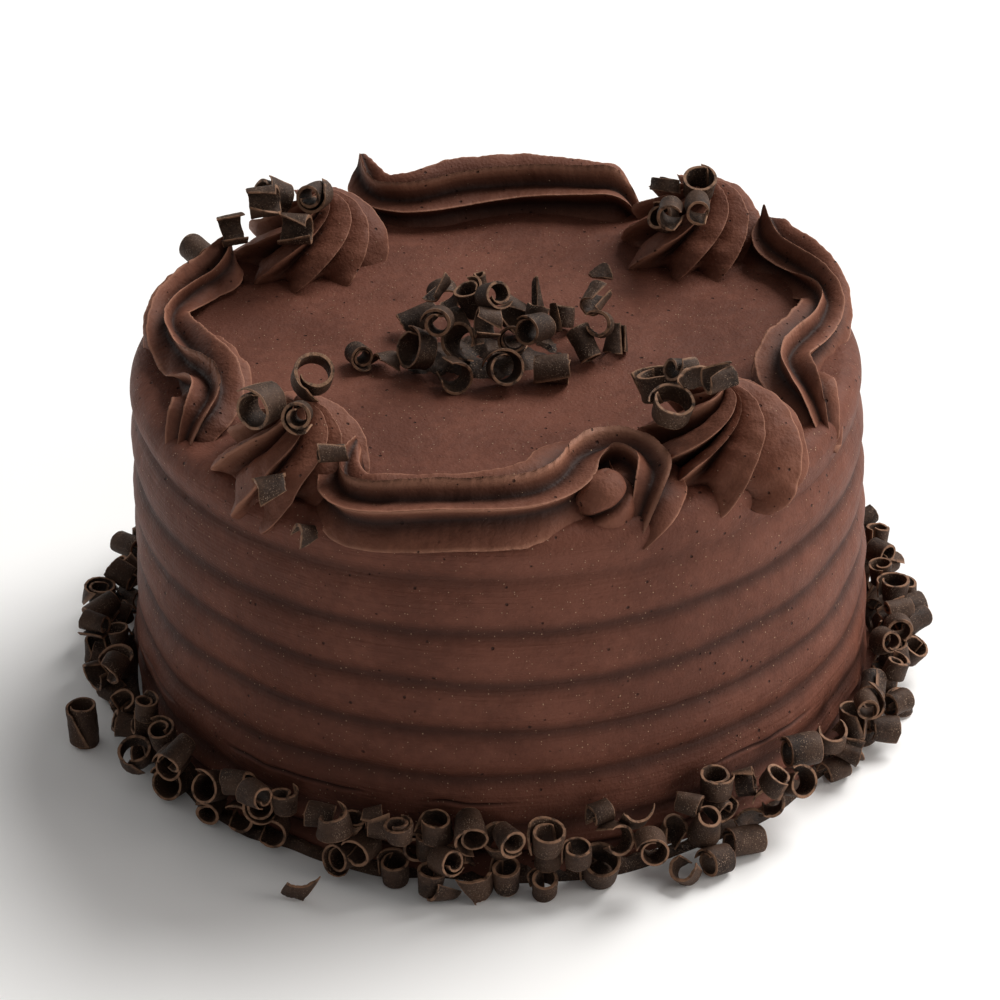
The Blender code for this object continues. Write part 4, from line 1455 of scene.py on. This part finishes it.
@dataclass
class Studio:
    """The pale floor, the soft lights and the camera at the photograph's angle."""

    camera_place: tuple = (0.0003, -0.8173, 0.5555)
    camera_target: tuple = (0.0003, 0.0, 0.0500)
    lens: float = 122.2
    sensor: float = 36.0
    roll: float = -1.49
    floor_reach: float = 3.0
    floor_colour: tuple = (0.90, 0.90, 0.90, 1)
    sky_colour: tuple = (1.0, 0.985, 0.965, 1)
    sky_strength: float = 0.28
    key_azimuth: float = 40.0
    key_elevation: float = 46.0
    key_strength: float = 3.7
    key_softness: float = 36.0
    key_colour: tuple = (1.0, 0.985, 0.96)
    clip: tuple = (0.05, 20.0)
    floor_roughness: float = 0.8
    light_target: tuple = (0, 0, 0.06)
    soft_boxes: tuple = (
        ("right_fill", (0.85, -0.30, 0.30), 0.55, 4.2, (1.0, 0.95, 0.90)),
        ("left_fill", (-0.80, 0.50, 0.25), 0.55, 1.2, (1.0, 0.99, 0.97)),
    )

    def build(self) -> None:
        """Makes the camera first, then the floor and the lights."""
        self.camera()
        self.floor()
        self.sky()
        self.key()
        for soft_box in self.soft_boxes:
            self.light(*soft_box)

    def camera(self) -> None:
        """The camera, turned a little about its own axis as the photograph is."""
        data = bpy.data.cameras.new("photo_camera")
        data.lens = self.lens
        data.sensor_width = self.sensor
        data.clip_start, data.clip_end = self.clip
        camera = added("photo_camera", data)
        place, target = Vector(self.camera_place), Vector(self.camera_target)
        look = (target - place).to_track_quat("-Z", "Y").to_matrix().to_4x4()
        turn = Matrix.Rotation(math.radians(self.roll), 4, "Z")
        camera.matrix_world = Matrix.Translation(place) @ look @ turn
        bpy.context.scene.camera = camera
        bpy.context.scene.view_settings.view_transform = "Standard"

    def floor(self) -> None:
        """The plain pale floor."""
        reach = self.floor_reach
        corners = [(-reach, -reach, 0), (reach, -reach, 0), (reach, reach, 0), (-reach, reach, 0)]
        mesh = bpy.data.meshes.new("pale_floor")
        mesh.from_pydata(corners, [], [(0, 1, 2, 3)])
        material, _, shader = new_finish("pale_floor")
        shader.inputs["Base Color"].default_value = self.floor_colour
        shader.inputs["Roughness"].default_value = self.floor_roughness
        mesh.materials.append(material)
        added("pale_floor", mesh)

    def sky(self) -> None:
        """Soft white light from all round."""
        world = bpy.data.worlds.new("studio")
        world.use_nodes = True
        background = world.node_tree.nodes["Background"]
        background.inputs["Color"].default_value = self.sky_colour
        background.inputs["Strength"].default_value = self.sky_strength
        bpy.context.scene.world = world

    def key(self) -> None:
        """The broad main light, from behind on the right, equal all over the floor."""
        data = bpy.data.lights.new("key", "SUN")
        data.energy = self.key_strength
        data.angle = math.radians(self.key_softness)
        data.color = self.key_colour
        azimuth, elevation = math.radians(self.key_azimuth), math.radians(self.key_elevation)
        flat = math.cos(elevation)
        toward = Vector((flat * math.cos(azimuth), flat * math.sin(azimuth), math.sin(elevation)))
        added("key", data).rotation_euler = (-toward).to_track_quat("-Z", "Y").to_euler()

    def light(self, name: str, place: tuple, size: float, power: float, colour: tuple) -> None:
        """Hangs a soft box that faces the cake.

        Args:
            name: The light's name.
            place: Where it hangs.
            size: The side of its square face.
            power: Its power in watts.
            colour: Its colour.
        """
        data = bpy.data.lights.new(name, "AREA")
        data.size = size
        data.energy = power
        data.color = colour
        lamp = added(name, data)
        lamp.location = place
        lamp.rotation_euler = (Vector(self.light_target) - Vector(place)).to_track_quat("-Z", "Y").to_euler()


SCROLLS = (
    PipedRope(
        "scroll_front",
        (
            (-36, -70, 1.2, 0), (-39.5, -79, 7.5, 0), (-34, -89, 10.5, 0), (-18, -92, 11.5, -3),
            (0, -91, 11.5, -3), (13, -85, 11.5, 0), (20, -75, 11.5, -14), (29, -69.5, 11, -25),
            (36, -75, 11, -38), (37.5, -84, 10, -48), (33, -90.5, 8.5, -56),
        ),
        101,
        bud=(27.0, -86.0, 8.2, 10.0),
    ),
    PipedRope(
        "scroll_right",
        (
            (78, 54, 1.2, 40), (80, 47, 8.5, 62), (87, 38, 9, 62), (91.5, 25, 7.5, 52),
            (92, 10, 8, 0), (87, -4, 9, -18), (80, -16, 9.5, -14), (78, -28, 10, 3),
            (83, -38, 10, 35), (88, -46, 6.5, 52),
        ),
        111,
    ),
    PipedRope(
        "scroll_back",
        (
            (-38, 92, 2.5, 8), (-33, 83, 8.5, 8), (-23, 80, 11, 8), (-9, 85, 12, 14), (8, 87, 11.5, 8),
            (23, 84.5, 11.5, 0), (34, 82, 11.5, -6), (43, 82, 11, -10),
        ),
        121,
        full_radius=13.5 * MM,
        end_closing=0.3,
    ),
    PipedRope(
        "scroll_left",
        (
            (-75, 46, 1.2, -35), (-78, 40, 8.5, -54), (-86, 31, 8.5, -54), (-90.5, 18, 7, -36),
            (-89, 4, 8.5, 6), (-82.5, -8, 11, 24), (-77.5, -20, 12, 20), (-76, -31, 11, -22),
            (-79.5, -41, 9.5, -48), (-85, -48, 6.5, -61),
        ),
        131,
    ),
)

ROSETTES = (
    PipedRosette("rosette_front_left", (-54, -65), 10, (2, 3), 201),
    PipedRosette("rosette_front_right", (57, -64), 25, (2, 4), 211),
    PipedRosette("rosette_back_right", (57, 56), 5, (3, 3), 221),
    PipedRosette("rosette_back_left", (-53, 55), 15, (4, 2), 231),
)

ROSETTE_CURLS = {
    "curl_front_left_1": Curl(-60, -69, 5.8, 9, 1.15, 235, 10, 60, 301, thickness=1.08),
    "curl_front_left_2": Curl(-46.5, -59, 6, 7.5, 1.15, 285, 48, 200, 302, thickness=1.1, cone=0),
    "curl_front_left_3": Curl(-50, -73, 4.3, 8, 1.6, 262, 20, 90, 303),
    "curl_front_left_4": Curl(-42, -80, 2.9, 6.5, 1.2, 192, 5, 0, 304, thickness=0.81, cone=0),
    "curl_front_left_5": Curl(-57, -86, 6.5, 8, 0.28, 190, -5, 35, 305, thickness=1.08, cone=0),
    "curl_front_left_6": Curl(-49.5, -91, 4.5, 4.5, 0.4, 200, 20, 20, 306, thickness=1.08, cone=0),
    "curl_front_right_1": Curl(42, -57, 6.4, 7.5, 1.15, 120, 72, 250, 311, thickness=1.08),
    "curl_front_right_2": Curl(44.5, -71, 6.2, 5, 1.1, 300, 70, 100, 312, thickness=1.08),
    "curl_front_right_3": Curl(47.5, -61, 4, 7, 1.2, 215, 25, 0, 313, cone=0),
    "curl_front_right_4": Curl(53, -70.5, 6.5, 5, 0.25, 280, 80, 60, 314, thickness=1.08, cone=0.2),
    "curl_front_right_5": Curl(57, -70, 3.8, 7, 0.9, 20, 5, 100, 315, cone=0),
    "curl_back_right_1": Curl(48.5, 44, 4.6, 5.5, 1.15, 230, 40, 100, 321, cone=0),
    "curl_back_right_2": Curl(58.5, 41, 4.2, 7, 0.85, 268, 5, 0, 322, cone=0),
    "curl_back_right_3": Curl(50.5, 36.5, 4.2, 7, 0.85, 262, 5, 0, 323, cone=0),
    "curl_back_right_4": Curl(59, 51, 5.4, 7.5, 1.1, 280, 70, 20, 324, thickness=1.08),
    "curl_back_right_5": Curl(50, 54, 5, 4, 1.2, 70, 60, 90, 325, cone=0),
    "curl_back_left_1": Curl(-55.5, 38.5, 5, 8.5, 0.8, 355, 0, 190, 331, thickness=1.08, cone=0),
    "curl_back_left_2": Curl(-64, 40, 5, 8, 0.8, 2, 5, 190, 332, thickness=1.08, cone=0),
    "curl_back_left_3": Curl(-73.5, 42, 5.0, 8, 0.75, 12, 5, 190, 333, thickness=1.0, cone=0),
    "curl_back_left_4": Curl(-50, 48, 4.7, 9, 1.6, 250, 15, 200, 334),
    "curl_back_left_5": Curl(-62, 51, 5.2, 8, 1.15, 205, 30, 40, 335, thickness=1.08),
    "loose_curl_left": Curl(-117.5, -42.5, 4.8, 11.5, 1.15, 90, 88, 30, 341, cone=0),
    "loose_curl_back": Curl(-85, 55, 4.6, 8, 1, 130, 10, 200, 342, cone=0),
    "loose_flake_top": Curl(30.5, 39.7, 5.5, 5, 0.2, 20, 5, 55, 343, thickness=0.81, cone=0.3),
}

CENTRE_CURLS = (
    Curl(-37, -10, 3.9, 8, 1.8, 290, 12, 30, 401, thickness=0.74, cone=0.05, skew=1),
    Curl(-30, -12, 5, 5, 0.35, 200, 10, 40, 402, thickness=0.81, cone=0),
    Curl(-21, -13, 6, 7, 1.15, 205, 25, 90, 403, cone=0.15),
    Curl(-11.5, -23, 4.8, 8, 0.8, 285, 8, 180, 404),
    Curl(2, -22, 5.3, 7, 1.25, 283, 25, 60, 405, thickness=0.88),
    Curl(15.5, -21, 4.6, 10, 1.25, 352, 3, 100, 406, thickness=0.81, cone=0.05),
    Curl(24, -11, 3.9, 8, 1.2, 120, 40, 200, 407),
    Curl(33.5, -7, 3.6, 8, 0.9, 80, 55, 150, 408, cone=-0.4),
    Curl(28.5, -10, 4.1, 6, 0.8, 250, 30, 200, 429),
    Curl(28, -2, 3.8, 7, 0.9, 60, 20, 150, 430),
    Curl(19, 7, 4.1, 7, 1.4, 80, 60, 300, 409),
    Curl(-3.5, 20, 2.9, 9, 1.2, 90, 80, 0, 410, thickness=0.81, cone=-0.7),
    Curl(-21, 9, 4.6, 9, 0.4, 20, 10, 40, 411, thickness=0.81),
    Curl(-14, 8, 4.8, 7, 0.8, 100, 10, 0, 412, thickness=0.81, cone=0),
    Curl(-8, -12, 5.2, 9, 0.8, 240, 35, 0, 413, cone=0.2),
    Curl(6, 6, 4.8, 9, 0.8, 150, 20, 60, 414, cone=0),
    Curl(5, -9, 4.4, 7, 1.5, 265, 25, 150, 415, thickness=0.81, cone=0.05),
    Curl(12, -5, 4.2, 8, 0.4, 60, 55, 0, 416, cone=0.2),
    Curl(-12.5, -6, 6.5, 6.5, 0.22, 30, -10, 60, 417, thickness=1.08),
    Curl(-2, -15, 4.6, 7, 0.9, 190, 10, 20, 418, thickness=0.81),
    Curl(10, 8, 3.6, 8, 0.35, 110, 50, 120, 419, thickness=0.81, cone=0.2),
    Curl(-6, -3, 4.6, 8, 1.2, 200, 70, 60, 422, thickness=0.9),
    Curl(0, -9, 4.4, 8, 1.3, 300, 30, 200, 423, thickness=0.9, cone=0),
    Curl(11, -14, 4.4, 8, 1.2, 230, 15, 80, 424, thickness=0.9),
    Curl(-15, -15, 4.5, 8, 1.3, 260, 20, 60, 426, thickness=0.9, cone=0),
    Curl(-17, 3, 4.5, 7, 0.4, 60, 25, 150, 420, thickness=0.81, cone=0.2),
)

FRONT_CURLS = (
    Curl(24, -113, 5.5, 8, 1.15, 278, 62, 120, 628),
    Curl(-85, -64, 5.6, 8, 1.35, 240, 15, 60, 601),
    Curl(-95, -52, 4.7, 8, 1.2, 220, 10, 60, 602),
    Curl(-90, -72, 4.7, 7, 1.1, 250, 5, 150, 603),
    Curl(-80, -80, 4.3, 8, 1.2, 255, 0, 60, 604),
    Curl(-70, -84, 4.7, 7, 0.9, 250, 10, 200, 605),
    Curl(-72, -75, 4.9, 10, 1.1, 240, 30, 100, 606, cone=0.2, skew=3),
    Curl(-62, -92, 4.5, 7, 0.8, 260, 10, 200, 607, cone=0),
    Curl(-57, -80, 4.9, 8, 1.7, 262, 18, 90, 608, thickness=0.88, cone=0.05, skew=1),
    Curl(-61, -74, 5.1, 9, 0.35, 215, 30, 70, 609, cone=0),
    Curl(-55, -111, 6.6, 7.5, 0.2, 285, 80, 215, 610, thickness=1.08, cone=0.2),
    Curl(-41, -101, 4.7, 8, 1.55, 232, 15, 90, 611, thickness=0.88, cone=0.05, skew=1),
    Curl(-30, -110, 4.5, 8, 1.1, 275, 75, 120, 612, cone=0.05),
    Curl(-38, -108, 4.3, 8, 0.8, 235, 5, 200, 613),
    Curl(-23, -103, 4.6, 5, 1.3, 268, 22, 40, 614, cone=0, skew=1),
    Curl(-13, -104, 5.6, 8, 0.33, 200, 60, 70, 615, thickness=1.08),
    Curl(-10, -115, 6.1, 8, 0.26, 275, 80, 250, 616, thickness=1.08, cone=0),
    Curl(-18, -117, 4.1, 7, 0.4, 215, 20, 240, 617, cone=0),
    Curl(-1, -116, 4.5, 7, 1.15, 270, 80, 100, 618, cone=0.05),
    Curl(9, -117, 4.3, 6.5, 1.2, 275, 78, 80, 619, cone=0.05),
    Curl(18, -117, 4.3, 6.5, 1.15, 280, 80, 110, 620, cone=0.05),
    Curl(28, -113, 4.7, 6, 0.8, 300, 20, 200, 621, cone=0),
    Curl(37.4, -117, 4.5, 7, 1.3, 274, 8, 60, 622, thickness=0.81, cone=0.03),
    Curl(46, -113, 4.1, 7, 0.8, 240, 50, 100, 623, cone=0),
    Curl(55, -109, 4.5, 8, 1.2, 215, 12, 90, 624, cone=0.05),
    Curl(-2, -106, 4.7, 7, 0.8, 250, 60, 50, 625),
    Curl(5, -108, 5.1, 8, 0.75, 230, 40, 120, 626),
    Curl(16, -107, 5.3, 8, 0.85, 200, 25, 60, 627, thickness=1.08),
    Curl(33, -107, 4.7, 8, 0.35, 290, 55, 200, 629),
    Curl(41, -108, 4.9, 5, 1.05, 280, 18, 20, 630, thickness=1.08, cone=0, skew=2),
    Curl(52, -105, 4.5, 11, 0.9, 285, 60, 120, 631, cone=-0.4),
    Curl(62.6, -101, 4.5, 9, 1.25, 205, 8, 100, 632, cone=0.05),
    Curl(66, -96, 4.7, 8, 0.4, 240, 40, 60, 633),
    Curl(70, -94, 4.3, 8, 0.8, 260, 20, 230, 634),
    Curl(77, -90, 4.7, 9, 0.9, 300, 30, 120, 635),
    Curl(79, -80, 4.9, 9.5, 1.25, 200, 5, 90, 636, thickness=0.81, cone=0.03),
    Curl(85, -82, 4.3, 8, 0.9, 320, 40, 20, 637),
)


def lay_out_cake() -> None:
    """Builds the whole cake: the studio, the icing, the piping, then every curl."""
    Studio().build()
    effects = Effects()
    icing = Icing("combed_buttercream", scratch_height=0.35 * MM).made(effects)
    piping = Icing(
        "piped_buttercream_look", dark=(0.110, 0.0395, 0.024, 1), light=(0.162, 0.062, 0.038, 1),
        pit_share=0.05, speck_share=0.02,
    ).made(effects)
    chocolate = DarkChocolate().made(effects)
    bed = Bed()
    cake = CombedCake().build(icing)
    stand_for(cake, "cake")
    bed.lay_object(cake)
    for rope in SCROLLS:
        piece = rope.build(piping)
        stand_for(piece, rope.name)
        bed.lay_object(piece)
    for rosette in ROSETTES:
        piece = rosette.build(piping)
        stand_for(piece, rosette.name)
        bed.lay_object(piece)
    RosetteCurls(ROSETTE_CURLS).build(bed, chocolate)
    CurlHeap(CENTRE_CURLS).build(bed, chocolate)
    FootRing(FRONT_CURLS).build(Bed(), chocolate)


def main() -> None:
    """Builds the scene."""
    logging.basicConfig(level=logging.INFO, format="%(message)s")
    lay_out_cake()
    bpy.context.view_layer.update()


if __name__ == "__main__":
    main()
